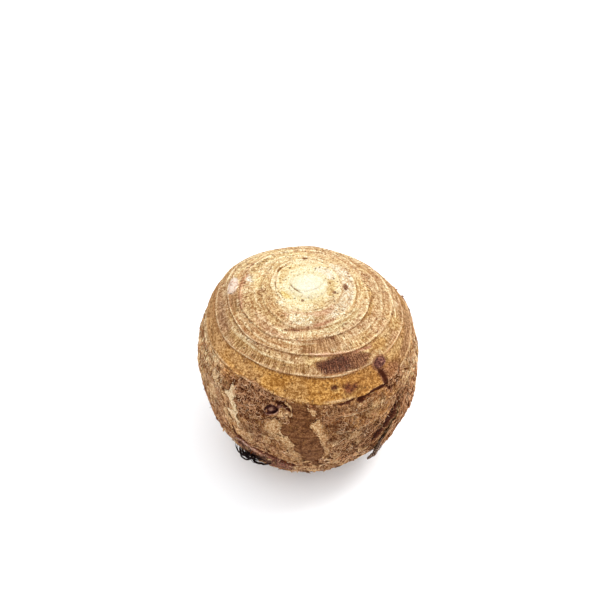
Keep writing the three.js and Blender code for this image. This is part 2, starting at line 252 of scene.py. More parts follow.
def chart(azimuth, polar, points):
    """Flat millimetre coordinates of the skin and of some (azimuth, polar) points on it."""
    points = np.array(points, float)
    centre = points[0, 0]
    stretch = DEGREE * math.sin(math.radians(points[:, 1].mean()))
    corners = np.stack([turned(points[:, 0], centre) * stretch, points[:, 1] * DEGREE], axis=-1)
    return turned(azimuth, centre) * stretch, polar * DEGREE, corners


def segment_gap(x, y, start, end):
    """Distance to a straight piece of line, and the share along it of the nearest point."""
    run = end - start
    share = np.clip(((x - start[0]) * run[0] + (y - start[1]) * run[1]) / (run @ run), 0, 1)
    return np.hypot(x - start[0] - share * run[0], y - start[1] - share * run[1]), share


def inside_outline(azimuth, polar, outline):
    """Millimetres inside a closed outline of (azimuth, polar) corners; negative outside."""
    x, y, corners = chart(azimuth, polar, outline)
    nearest = np.full(np.shape(x), 1e9)
    crossings = np.zeros(np.shape(x), int)
    for start, end in zip(corners, np.roll(corners, -1, axis=0)):
        nearest = np.minimum(nearest, segment_gap(x, y, start, end)[0])
        if start[1] != end[1]:
            level = (y - start[1]) / (end[1] - start[1])
            beside = x < start[0] + level * (end[0] - start[0])
            crossings += ((y > start[1]) != (y > end[1])) & beside
    return np.where(crossings % 2 == 1, nearest, -nearest)


def inside_line(azimuth, polar, line, half_width):
    """Millimetres inside a thick line, which thins toward both ends; negative outside."""
    x, y, corners = chart(azimuth, polar, line)
    reach = np.full(np.shape(x), -1e9)
    pieces = len(corners) - 1
    for number in range(pieces):
        gap, share = segment_gap(x, y, corners[number], corners[number + 1])
        along = (number + share) / pieces
        width = half_width * (0.35 + 0.65 * np.sqrt(np.sin(np.pi * np.clip(along, 0, 1))))
        reach = np.maximum(reach, width - gap)
    return reach


# ---------- where the skin is what ----------
BARE_OUTLINE = [  # the strip where the husk has come off and the smooth layer shows
    (-10.5, 68), (-4, 67.5), (-0.7, 68.7), (4.6, 75), (2.8, 78), (1.0, 81.4), (3.0, 84.8),
    (5.8, 88), (6.5, 91), (6, 94.5), (8, 98.5), (9.2, 102.5), (7.2, 106.5), (8, 112),
    (9, 118), (-2, 119), (-3, 112), (-3.3, 107.2), (-7.6, 100.5), (-6.3, 96), (-10, 90.6),
    (-13.7, 86.7), (-13.1, 82), (-9, 78), (-7.6, 74.6),
]
DARK_OUTLINE = [  # the purple stain under the ring's lip
    (3.5, 47.6), (9, 46.8), (15.4, 45.8), (24, 45.8), (32, 47.3), (39, 49.2), (44, 52.2),
    (37.6, 56.2), (29, 55.7), (20, 55.3), (10.4, 54.9), (5.5, 51.6),
]
TANGLE_OUTLINE = [  # matted brown fibres
    (-41, 63), (-30, 61), (-21, 63.5), (-12, 68), (-12.5, 73), (-17, 78.5), (-24, 80),
    (-31, 82), (-37, 76), (-39, 69),
]
RED_OUTLINE = [  # the smooth reddish band between the crack and the root tuft
    (-40, 105.5), (-30, 108.5), (-22, 110.8), (-13, 115.2), (-8, 119), (-9, 127), (-24, 129),
    (-38, 123), (-46, 114),
]
SCAR_OUTLINE = [(46, 62), (52, 61.5), (58, 65), (58.5, 71), (52, 73.5), (46.5, 70)]
# The gaps are darkened with painted shade.
GAPS = [  # dark gaps: points, half width, depth
    ([(14, 70), (18, 70.4), (22, 70.2), (24.5, 69.6)], 0.5, 0.5),
    ([(26.6, 71.3), (28.4, 71.3), (30.8, 70.6)], 1.5, 0.9),
    ([(31, 70.4), (34.6, 70), (38, 69.8), (42, 70.3), (45.5, 71.6)], 0.9, 0.8),
    ([(42.8, 60.4), (44.6, 64), (45.2, 67), (44.8, 70.6), (47.4, 74.6)], 1.0, 0.75),
    ([(-16.5, 69), (-13.4, 69.2), (-10, 70.8), (-8, 73.4)], 1.2, 1.0),
    ([(-43.5, 92), (-41, 98), (-39.8, 103), (-38.4, 106.8)], 0.8, 0.9),
    ([(-41, 102.6), (-37.8, 105.6), (-30.3, 108), (-21.2, 110.7), (-14, 115), (-7.5, 119)], 1.5, 1.9),
    ([(16, 4.8), (44, 5.2), (71, 6.3), (104, 9.2), (127, 12.7)], 0.3, 0.2),
    ([(16, 4.8), (-44, 6.4), (-82, 8.6), (-111, 11)], 0.3, 0.2),
    ([(78, 29.6), (89, 30.2), (103, 30.6), (115, 31)], 0.3, 0.22),
    ([(64, 38), (75, 37.8), (83, 38), (92, 37.4), (101, 35.6)], 0.35, 0.3),
    ([(-44, 20.8), (-57, 22), (-71, 23.2), (-83, 25), (-95, 27.2), (-104, 29)], 0.28, 0.25),
    ([(-96, 10), (-83, 9.1), (-61, 7.7), (-25, 7.5)], 0.55, 0.36),
    ([(-61, 16.1), (-75, 17), (-89, 18.1), (-104, 19.4)], 0.32, 0.3),
    ([(-124, 21.4), (-129, 21.9), (-136, 22.4), (-146, 21.9)], 0.8, 0.4),
    ([(-16, 18.8), (0, 19), (15, 18.8), (29, 18.2)], 0.25, 0.22),
    ([(94, 36.4), (103, 34.9), (108, 32.6)], 0.28, 0.3),
]
# It is darkened with the gaps' painted shade.
GROOVE_OUTLINE = [  # the deep fold beside the torn husk on the right
    (52.8, 81.4), (50.8, 84.4), (48.4, 87.6), (44.8, 91.6), (42.2, 95.4), (39.2, 99.2), (36, 103),
    (33.6, 107), (38.2, 110.6), (42.4, 105.6), (46, 100), (50.2, 95.4), (53.4, 91), (54.8, 87),
    (54.8, 82),
]
GROOVE_DEPTH = 1.3
GROOVE_RAGGEDNESS = 1.2  # times that of the gaps
SPOTS = [  # azimuth, polar, half length round, half height, strength
    (-13.7, 12.2, 1.0, 0.9, 0.75),
    (72, 16.0, 1.2, 1.1, 0.8),
    (92, 21.8, 2.6, 1.3, 1.0),
    (-176, 25.4, 1.5, 1.5, 0.7),
    (-13, 31.4, 2.6, 0.8, 0.65),
    (0, 29.4, 1.0, 0.6, 0.6),
    (-22, 32.6, 1.2, 0.7, 0.6),
    (22, 37.2, 1.2, 0.9, 0.6),
    (-103, 36.7, 0.9, 0.8, 0.8),
    (101.6, 13.2, 0.7, 0.6, 0.7),
    (114, 16.6, 0.7, 0.6, 0.7),
    (22.5, 88.2, 0.6, 1.1, 0.8),
    (58, 46.5, 0.8, 0.7, 0.7),
    (40, 33, 0.8, 0.7, 0.6),
    (66, 42.5, 0.9, 0.7, 0.7),
    (80, 49.5, 0.8, 0.8, 0.7),
    (-128, 40, 1.0, 0.8, 0.6),
    (120, 27, 0.9, 0.8, 0.6),
    (150, 36, 1.2, 0.9, 0.7),
]
LIPS = [  # thin pale edges that stand off the skin: points, radius, paleness
    ([(-10.7, 53.8), (0, 54.2), (10.3, 54.5), (21, 55.1), (29, 56), (36, 56.7), (39.5, 58.6)], 0.2, 0.6),
    ([(-81, 56.5), (-68, 55.4), (-52, 52.9), (-36.8, 52.1), (-22, 52.7), (-10.7, 53.8)], 0.15, 0.63),
    ([(-2, 44.1), (9, 44.3), (19.4, 45.3), (30.3, 46.5), (39.5, 48.2), (46, 49.3)], 0.18, 0.65),
    ([(30, 45.4), (36, 46), (41, 46.8), (47, 48.4), (53, 49.6)], 0.16, 0.73),
    ([(-100, 43.8), (-93, 44.5), (-82.5, 44), (-66, 43.5), (-45, 43.8), (-28, 44.4), (-6, 44.3)], 0.15, 0.67),
    ([(49, 57.6), (55, 57), (61, 56.5), (74, 56.6)], 0.18, 0.79),
    ([(5, 75.7), (9.6, 76.1), (13.7, 76.3), (21.5, 76.7), (27, 77), (32, 77.8)], 0.16, 0.74),
    ([(-60, 62.5), (-48, 62.0), (-35, 62.3)], 0.15, 0.67),
    ([(80, 57.5), (105, 56.5), (135, 54), (165, 53)], 0.22, 0.73),
    ([(172, 53), (-160, 54), (-130, 56), (-100, 57.5), (-84, 56.8)], 0.22, 0.73),
    ([(95, 66), (120, 65), (150, 62), (175, 62)], 0.2, 0.68),
    ([(-175, 62), (-150, 64), (-120, 67), (-95, 66)], 0.2, 0.68),
]
# The share of pale colour also sets the painted shadow just below each ridge.
RIDGES = [  # soft pale folds in the skin: points, half width, height, share of pale colour
    ([(-45, 19.6), (-20, 19.8), (5, 19.6), (25, 19.4), (46, 19.2)], 0.7, 0.25, 0.6),
    ([(46, 19.2), (60, 18.7), (80, 19.0), (103, 18.6), (118, 18.2)], 0.8, 0.35, 0.85),
    ([(118, 18.2), (140, 19.8), (165, 22.6), (-170, 24.6), (-145, 24), (-125, 22.4)], 0.6, 0.3, 0.6),
    ([(-60, 17.2), (-72, 18.2), (-90, 20.2), (-108, 21.2), (-128, 22.2)], 0.6, 0.3, 0.6),
    ([(44, 27.6), (62, 27.6), (80, 26.9), (96, 26.8), (116, 27)], 0.9, 0.3, 0.75),
    ([(54, 35.4), (66, 35.6), (84, 34.2), (98, 33.4)], 0.9, 0.35, 0.8),
    ([(-62, 29.5), (-80, 30), (-96, 30.5)], 0.5, 0.2, 0.5),
    ([(-108, 49.4), (-127, 50.6), (-146, 47.9), (-157, 45.8), (-170, 43.7), (-192, 42.5)], 0.9, 0.45, 0.9),
    ([(-112, 38.8), (-128, 37.5), (-140, 36.6), (-155, 36.4), (-173, 36), (-194, 35.7)], 0.9, 0.45, 0.9),
    ([(-118, 32), (-139, 32.2), (-155, 31.1), (-173, 28), (-196, 26), (-215, 25.5)], 0.8, 0.4, 0.85),
    ([(-120, 27), (-140, 27.4), (-160, 26)], 0.6, 0.25, 0.7),
    ([(175, 43.6), (155, 45.2), (140, 47.6), (114, 48.3), (100, 48.2), (90, 50.1), (80, 52)], 0.9, 0.45, 0.9),
    ([(165, 41), (150, 41.5), (138, 39.6), (122, 36.4), (112, 32)], 0.7, 0.35, 0.8),
    ([(60, 43.5), (80, 43), (100, 41.6), (120, 41.5)], 0.6, 0.25, 0.6),
    ([(-70, 48.2), (-45, 47.4), (-22, 48.0), (-4, 48.2)], 0.5, 0.2, 0.55),
    ([(-75, 41.5), (-50, 41.2), (-25, 42.2), (-8, 42.3)], 0.5, 0.2, 0.55),
    ([(-60, 33.4), (-40, 33), (-20, 34)], 0.6, 0.2, 0.5),
    ([(-30, 38), (-10, 38.6), (8, 38.2)], 0.5, 0.2, 0.5),
    ([(30, 39.4), (50, 41), (64, 42)], 0.5, 0.2, 0.5),
    ([(10, 29.8), (35, 29.4), (60, 30.4)], 0.6, 0.25, 0.6),
]
# Each stretch's strength also sets the painted shadow under its lip.
EDGES = [  # stretches of ring whose edge shows: ring, from, to, strength
    (0, -180, 180, 0.3), (1, -180, 180, 0.3), (2, -180, 180, 0.2), (3, -180, 180, 0.25),
    (4, -180, 180, 0.6), (5, -180, 180, 0.7), (6, -180, 180, 0.5), (7, 17, 32, 0.4),
    (7, 70, 250, 0.5), (8, 70, 250, 0.4), (8, 15, 45, 0.3),
]
BUDS = [  # azimuth, polar, length, width, height, paleness
    (45.4, 58.3, 6.6, 5.0, 2.2, 0.0),
    (-102.5, 43.8, 12.6, 4.6, 1.3, 1.0),
    (160, 70, 6.5, 5.0, 2.2, 0.1),
    (-150, 78, 7.0, 5.4, 2.6, 0.0),
    (112, 88, 6.0, 5.0, 2.2, 0.0),
]
SCARS = [  # azimuth, polar, length, width, depth
    (-18.3, 73.9, 7.0, 5.6, 1.5),
    (135, 101, 6.0, 4.6, 1.3),
    (-160, 108, 5.0, 4.0, 1.1),
]
HUSK_START = 6.0  # ring coordinate where the papery husk begins
PLATE_SIZE = 6.5  # of the overlapping plates the husk breaks into
GRAIN_RADIUS = 55  # of the cylinder on which the strings that run down are laid out


def place_of(azimuth, polar):
    """Position on a ball of the body's size, for noise that doesn't depend on the relief."""
    return direction(azimuth, polar) * WAIST_RADIUS


def husk_cover(azimuth, polar, ring):
    """Millimetres inside the husk's edge: positive where husk lies on the body."""
    place = place_of(azimuth, polar)
    ragged = 0.9 * fractal(place, 5.0, 11, 3) + 0.5 * noise(place, 1.6, 12)
    edge = (ring - HUSK_START) * RING_SPACING + ragged
    bare = inside_outline(azimuth, polar, BARE_OUTLINE) + 0.5 * ragged
    tangle = inside_outline(azimuth, polar, TANGLE_OUTLINE)
    cover = np.minimum(edge, -bare)
    # On the far side the husk has come off in ragged patches between the rings.
    far = smoothstep(np.abs(turned(azimuth, 0)) + 14 * fractal(place, 14.0, 14, 3), 66, 96)
    patches = (fractal(place * [1, 1, 0.8], 12.0, 13, 5, 0.62) - 0.33) * 12
    cover = np.minimum(cover, np.where(far > 0, -patches + (1 - far) * 20, 20))
    return np.where(tangle > 0, np.minimum(cover, 0.3), cover)


def plates(azimuth, polar):
    """A number from 0 to 1 for the husk plate a point lies in, and how near its edge is."""
    scaled = place_of(azimuth, polar) * [1, 1, 0.75] / PLATE_SIZE
    scaled = scaled + 0.18 * np.stack([noise(scaled, 0.4, 30 + k) for k in range(3)], axis=-1)
    cell = np.floor(scaled)
    first = np.full(scaled.shape[:-1], 1e9)
    second = first.copy()
    owner = np.zeros_like(first)
    for corner in np.ndindex(3, 3, 3):
        near = cell + np.array(corner) - 1
        spot = near + np.stack([lattice_hash(near, 33 + k) for k in range(3)], axis=-1)
        gap = np.linalg.norm(scaled - spot, axis=-1)
        closer = gap < first
        second = np.where(closer, first, np.minimum(second, gap))
        owner = np.where(closer, lattice_hash(near, 36), owner)
        first = np.where(closer, gap, first)
    return owner, (second - first) * PLATE_SIZE


def gap_depth(azimuth, polar):
    """Depth of the dark gaps, with ragged sides."""
    depth = np.zeros(np.shape(azimuth))
    place = place_of(azimuth, polar)
    ragged = 0.5 * noise(place, 2.0, 17) + 0.25 * noise(place, 0.9, 18)
    for line, half_width, deep in GAPS:
        reach = inside_line(azimuth, polar, line, half_width) + ragged * min(1, 1.4 * half_width)
        depth = np.maximum(depth, deep * smoothstep(reach, -0.5 * half_width, 0.6 * half_width))
    fold = inside_outline(azimuth, polar, GROOVE_OUTLINE) + GROOVE_RAGGEDNESS * ragged
    return np.maximum(depth, GROOVE_DEPTH * smoothstep(fold, -0.3, 1.3))


def ridge_share(azimuth, polar, line, half_width, ragged):
    """1 along the middle of a soft ridge with ragged sides, 0 beside it."""
    return smoothstep(inside_line(azimuth, polar, line, half_width) + ragged, -0.3, 0.8 * half_width)


def oval_reach(azimuth, polar, length, width, centre_azimuth, centre_polar):
    """0 in the middle of an oval, 1 on its outline."""
    x, y = apart(azimuth, polar, centre_azimuth, centre_polar)
    return np.hypot(x / (length / 2), y / (width / 2))


def spot_share(azimuth, polar, *oval):
    """1 in the middle of an oval spot, 0 outside it."""
    return smoothstep(oval_reach(azimuth, polar, *oval), 1.0, 0.55)


def rim_share(azimuth, polar, reach, width, *oval):
    """1 on a rounded rim that follows an oval, at a reach from its middle."""
    return np.exp(-(((oval_reach(azimuth, polar, *oval) - reach) / width) ** 2))


def collar(azimuth, polar, *oval):
    """1 on a rounded rim just outside an oval spot."""
    return rim_share(azimuth, polar, 1.2, 0.25, *oval)


def down_grain(azimuth, polar, squeeze=0.13):
    """Coordinates in which noise becomes strings running down the side."""
    return np.stack([GRAIN_RADIUS * cosd(azimuth), GRAIN_RADIUS * sind(azimuth), polar * squeeze], axis=-1)


def ring_grain(azimuth, ring, reach=9.0):
    """Coordinates in which noise becomes threads running along the rings."""
    return np.stack([reach * cosd(azimuth), reach * sind(azimuth), ring * RING_SPACING], axis=-1)


def ring_relief(azimuth, ring):
    """The stepped bands between the rings, a lip at every ring and the crown's disc."""
    lower = np.clip(np.floor(ring).astype(int) + 1, 0, LAST - 1)
    upper = np.clip(np.floor(ring).astype(int), 0, LAST - 1)
    strengths = np.stack([lip_strength(i, azimuth) for i in range(LAST)], axis=-1)
    lip_below = np.take_along_axis(strengths, lower[..., None], -1)[..., 0]
    lip_above = np.take_along_axis(strengths, upper[..., None], -1)[..., 0]
    share = ring - np.floor(ring)
    foot = 0.25 * np.clip(1 - share / 0.14, 0, 1)
    rise = 0.7 * smoothstep(share, 0.3, 0.88) + 0.25 * smoothstep(share, 0.84, 0.93)
    fall = smoothstep(share, 1.0, 0.93)
    in_bands = (ring >= 0) & (ring < LAST)
    height = np.where(in_bands, rise * fall * lip_below - foot * lip_above, 0)
    height = height * (1 - 0.6 * smoothstep(ring, 8.5, 10))
    return height + CROWN_DISC_RISE * smoothstep(ring, 0.1, -0.3)


def husk_relief(azimuth, polar, covered):
    """Thickness, plates, strings and crumples of the husk."""
    place = place_of(azimuth, polar)
    owner, edge = plates(azimuth, polar)
    tilt = 0.28 * owner + 0.22 * smoothstep(edge, 0.0, 0.7)
    crumple = 1 - 2 * np.abs(fractal(place * [1, 1, 0.8], 7.0, 23, 3))
    strings = fractal(down_grain(azimuth, polar, 0.2), 1.6, 22, 3)
    rough = 0.3 * crumple + 0.12 * strings + 0.14 * noise(place, 1.5, 28)
    return covered * (tilt + rough - 0.25)


def feature_relief(azimuth, polar):
    """Ridges, scar, stain, spots, gaps and the rims round the buds."""
    place = place_of(azimuth, polar)
    ragged = 0.4 * noise(place, 2.2, 61)
    tangle = smoothstep(inside_outline(azimuth, polar, TANGLE_OUTLINE), -0.6, 1.2)
    height = tangle * (0.35 * noise(place, 1.1, 26) - 0.25)
    height = height - 0.25 * smoothstep(inside_outline(azimuth, polar, DARK_OUTLINE), -0.4, 0.8)
    rough = smoothstep(inside_outline(azimuth, polar, SCAR_OUTLINE), -0.5, 0.8)
    height = height + rough * (0.3 + 0.45 * noise(place, 1.2, 27))
    for line, half_width, tall, _ in RIDGES:
        height = height + tall * ridge_share(azimuth, polar, line, half_width, ragged)
    height = height - gap_depth(azimuth, polar)
    for a, p, length, width, deep in SCARS:
        height = height - deep * spot_share(azimuth, polar, length, width, a, p)
        height = height + 0.75 * collar(azimuth, polar, length, width, a, p)
    for a, p, length, width, _, _ in BUDS:
        height = height + 0.45 * collar(azimuth, polar, length, width, a, p)
        height = height - 0.7 * spot_share(azimuth, polar, 1.1 * length, 1.1 * width, a, p)
    for a, p, half_length, half_height, strength in SPOTS:
        share = spot_share(azimuth, polar, 2.2 * half_length, 2.2 * half_height, a, p)
        height = height - 0.25 * strength * share
    return height


def relief(azimuth, polar, ring=None):
    """Height of the finished skin above the smooth body, in millimetres."""
    azimuth, polar = np.broadcast_arrays(np.asarray(azimuth, float), np.asarray(polar, float))
    if ring is None:
        ring = ring_coordinate(azimuth, polar)
    place = place_of(azimuth, polar)
    covered = smoothstep(husk_cover(azimuth, polar, ring), -0.15, 0.35)
    upper = 1 - 0.7 * covered
    height = ring_relief(azimuth, ring) + growth(azimuth, polar)
    threads = fractal(ring_grain(azimuth, ring), 1.7, 21, 3)
    long_threads = fractal(ring_grain(azimuth, ring, 2.5), 1.5, 19, 2)
    height = height + upper * (0.12 * threads + 0.16 * long_threads) * smoothstep(ring, -0.5, 1.0)
    height = height + 0.09 * noise(place, 1.3, 25) * smoothstep(ring, 0.0, 4.0)
    height = height + (1 - covered) * smoothstep(ring, 6.0, 6.4) * 0.14 * fractal(place, 5.0, 24, 2)
    height = height + husk_relief(azimuth, polar, covered)
    height = height + feature_relief(azimuth, polar)
    return height * smoothstep(polar, REST_POLAR - 0.2, REST_POLAR - 9)


def skin_point(azimuth, polar, extra=0.0):
    """Point on the finished skin, or some millimetres above it, in millimetres."""
    dirs = direction(azimuth, polar)
    radius = body_radius(dirs) + relief(azimuth, polar) + extra
    return dirs * radius[..., None] + MIDDLE


# ---------- colours of the skin ----------
def seen(colour):
    """Surface colour that looks like an 8-bit screen colour under the lights."""
    share = np.array(colour) / 255
    linear = np.where(share <= 0.04045, share / 12.92, ((share + 0.055) / 1.055) ** 2.4)
    return linear / LIGHT_LEVEL


def shade(*colour):
    """The same as four numbers for a material, from three numbers of up to 255."""
    return (*seen(colour), 1.0)


# Light and deep colour of the flesh skin by ring coordinate, then of the smooth brown
# layer that lies under the husk.
FLESH_COLOURS = [
    (-1.0, (252, 248, 230), (246, 240, 210)),
    (-0.3, (252, 246, 222), (244, 234, 194)),
    (0.0, (254, 244, 208), (242, 224, 172)),
    (0.9, (254, 240, 200), (238, 208, 152)),
    (1.1, (254, 240, 204), (236, 203, 152)),
    (2.0, (252, 233, 188), (222, 182, 129)),
    (3.0, (250, 224, 178), (206, 158, 108)),
    (4.0, (244, 212, 164), (182, 134, 88)),
    (5.0, (226, 184, 136), (148, 104, 62)),
    (5.98, (212, 168, 120), (136, 92, 54)),
    (6.02, (144, 96, 60), (96, 56, 30)),
    (14.0, (142, 100, 70), (98, 62, 40)),
]
UPPER_PATCHES = [  # of the upper rings: share, size, seed, noise where one begins and is full, light, deep
    (0.55, 13.0, 52, 0.05, 0.4, (244, 214, 148), (190, 142, 80)),
    (0.5, 9.0, 53, 0.1, 0.45, (220, 172, 130), (146, 98, 68)),
    (0.5, 8.0, 54, 0.12, 0.45, (254, 240, 204), (222, 190, 142)),
]
HUSK_COLOURS = [
    (6.0, (198, 146, 92), (118, 70, 34)),
    (8.0, (194, 144, 92), (114, 68, 34)),
    (10.0, (192, 146, 98), (112, 68, 38)),
    (11.6, (194, 152, 112), (112, 72, 46)),
    (14.0, (196, 154, 114), (108, 70, 44)),
]
# Washes over those: points, half width (None: the points are an outline), softness, light
# colour, deep colour, share. The first two lie across the husk's edge, so both the flesh and
# the husk have them; the first is painted shadow, the soft shade of the fold below the front bud.
FOLD_SHADOW_WASH = ([(42.6, 59), (44.8, 64), (46, 70), (47, 76)], 2.3, 1.3, (146, 96, 72), (72, 36, 30), 0.9)
SCAR_WASH = ([(51, 63), (58, 67), (57, 74)], 3.0, 1.4, (150, 104, 74), (84, 50, 36), 0.5)
FLESH_WASHES = [
    # inside the innermost ring
    ([(60, 14), (80, 13.6), (100, 14), (116, 14.6)], 2.4, 0.8, (240, 214, 152), (198, 152, 92), 0.85),
    ([(-42, 13.4), (-62, 14.6), (-74, 15.6)], 1.5, 0.7, (244, 220, 140), (214, 176, 92), 0.8),
    ([(-100, 15.5), (-125, 17), (-150, 18.6), (-172, 18)], 1.8, 0.8,
     (244, 220, 164), (206, 164, 102), 0.8),
    ([(116, 15.4), (138, 16.6), (162, 15.6)], 2.6, 0.8, (254, 246, 226), (236, 216, 180), 0.85),
    ([(-60, 12), (-30, 12.6), (0, 12.6), (40, 12.4)], 1.2, 0.8, (253, 243, 200), (226, 198, 134), 0.6),
    # between the first three rings
    ([(28, 25.2), (60, 24), (90, 24.5), (120, 24), (142, 24.5)], 4.0, 1.2,
     (254, 246, 220), (222, 190, 148), 0.85),
    ([(-20, 25.2), (-8, 25.4), (7, 24.6)], 3.0, 1.0, (254, 245, 214), (212, 180, 128), 0.9),
    ([(-60, 24), (-48, 25.2), (-38, 25.4), (-27, 24)], 2.3, 1.0, (228, 172, 126), (152, 88, 56), 0.8),
    ([(7, 28.5), (20, 28.3), (33, 27.2)], 1.2, 0.6, (222, 166, 130), (146, 92, 62), 0.85),
    ([(12, 22.6), (28, 22.8), (44, 22)], 1.4, 0.8, (228, 178, 140), (158, 104, 70), 0.7),
    ([(50, 28.3), (80, 27.9), (95, 27.7), (112, 27.5)], 0.9, 0.5, (236, 196, 126), (186, 136, 74), 0.9),
    ([(-88, 22), (-60, 21.6), (-38, 21.6), (-27, 27), (-30, 33), (-45, 37), (-70, 38), (-88, 36)],
     None, 1.6, (238, 204, 148), (168, 120, 70), 0.85),
    ([(-113, 36), (-109, 34), (-104, 32.4)], 2.7, 0.8, (255, 250, 236), (246, 232, 206), 0.97),
    ([(-113, 37), (-106, 38.6), (-95, 38.4), (-85, 38.2), (-74, 38.6)], 1.2, 0.6,
     (228, 166, 122), (164, 94, 64), 0.85),
    ([(-111, 45.8), (-102, 43.8), (-94, 42)], 2.6, 0.9, (255, 243, 226), (240, 206, 184), 0.9),
    ([(-97, 40), (-74, 40.4), (-72, 43), (-84, 45.6), (-97, 46)], None, 1.0,
     (196, 152, 104), (130, 92, 56), 0.75),
    ([(-125, 26), (-150, 28), (-172, 27)], 3.0, 1.2, (250, 232, 184), (224, 188, 130), 0.8),
    ([(-104, 31), (-118, 35), (-145, 34), (-172, 32), (170, 30)], 2.4, 1.0,
     (250, 232, 180), (224, 188, 128), 0.85),
    ([(-112, 44), (-128, 45), (-145, 42.6), (-165, 40)], 3.0, 1.2,
     (248, 228, 176), (222, 182, 124), 0.85),
    ([(-112, 54), (-135, 53), (-160, 50)], 2.4, 1.2, (240, 208, 154), (200, 154, 100), 0.7),
    ([(-24, 21.2), (0, 21), (30, 20.6), (48, 20.4)], 0.9, 0.5, (246, 210, 182), (218, 166, 136), 0.6),
    # the third and fourth ring
    ([(-30, 31.4), (-18, 31.8), (-8, 30.8), (4, 29.8), (20, 29.6), (31, 29.6)], 1.1, 0.8,
     (204, 146, 100), (138, 86, 56), 0.75),
    ([(20, 32), (45, 31.4), (62, 31)], 2.8, 1.0, (246, 230, 182), (194, 160, 110), 0.75),
    ([(-4, 36.4), (12, 35.6), (25, 36), (28, 41.4), (10, 43.4), (-4, 42.6)], None, 0.9,
     (204, 156, 110), (134, 90, 56), 0.8),
    ([(56, 36.8), (66, 37), (85, 35.6), (100, 34.8)], 1.7, 0.6, (242, 208, 144), (198, 154, 88), 0.85),
    ([(-62, 33), (-40, 35), (-22, 36.6)], 2.6, 1.2, (232, 190, 154), (172, 122, 92), 0.55),
    ([(-20, 38), (-8, 39), (-14, 41)], 2.0, 1.0, (240, 206, 162), (180, 132, 92), 0.5),
    ([(36, 34.6), (50, 37), (62, 40)], 3.2, 1.4, (232, 202, 158), (172, 130, 92), 0.6),
    ([(70, 44), (95, 42), (110, 40)], 4.0, 1.6, (232, 200, 156), (166, 124, 86), 0.65),
    ([(2, 43.4), (18.6, 45.2), (28.6, 46.7), (36.4, 47.8), (47, 49.6)], 0.9, 0.5,
     (238, 188, 158), (184, 126, 104), 0.9),
    # the band above the stain's ring
    ([(-64, 49.5), (-40, 50), (-20, 50.6), (0, 51)], 3.0, 1.2, (222, 182, 126), (138, 94, 48), 0.8),
    ([(47, 50.6), (53, 51.4), (58, 52.4)], 2.6, 1.0, (224, 176, 108), (158, 108, 58), 0.85),
    ([(61, 50.5), (68, 51.5)], 2.8, 1.2, (234, 198, 146), (178, 138, 92), 0.7),
    ([(-92, 50), (-78, 50.6), (-66, 50)], 2.6, 1.2, (188, 146, 112), (122, 84, 62), 0.6),
    ([(-52, 57), (-40, 58), (-28, 60)], 4.0, 2.0, (228, 184, 128), (172, 124, 78), 0.6),
    ([(49, 58.5), (58, 60), (70, 60)], 3.2, 1.3, (236, 194, 134), (184, 144, 92), 0.85),
    ([(17, 66.5), (24, 66), (31, 66)], 2.4, 1.2, (188, 130, 66), (122, 74, 34), 0.8),
    ([(-62, 42.4), (-45, 41), (-30, 41.4), (-14, 42)], 2.6, 1.2, (224, 174, 120), (152, 100, 58), 0.75),
    ([(-76, 27), (-62, 25.5), (-52, 25)], 2.2, 1.2, (246, 218, 164), (206, 160, 106), 0.6),
    ([(62, 66), (80, 64), (98, 62)], 3.5, 1.6, (206, 162, 120), (136, 94, 64), 0.7),
    ([(82, 57), (92, 60), (100, 66)], 4.0, 2.0, (200, 160, 114), (132, 94, 62), 0.45),
    SCAR_WASH,
    FOLD_SHADOW_WASH,
    # two bruises on the band below the stain, with a paler rim
    ([(13, 62.6), (15.5, 63.4), (18, 62)], 1.0, 0.8, (240, 198, 130), (190, 140, 78), 0.7),
    ([(13, 61.4), (15.8, 61)], 1.6, 1.0, (112, 64, 38), (64, 32, 22), 1.0),
    ([(19, 66), (24, 67.2), (30, 65)], 1.2, 1.0, (236, 190, 118), (184, 132, 70), 0.6),
    ([(20.8, 62.4), (24.2, 63.8), (28.2, 62.6)], 2.3, 1.6, (148, 86, 56), (84, 44, 32), 0.95),
]
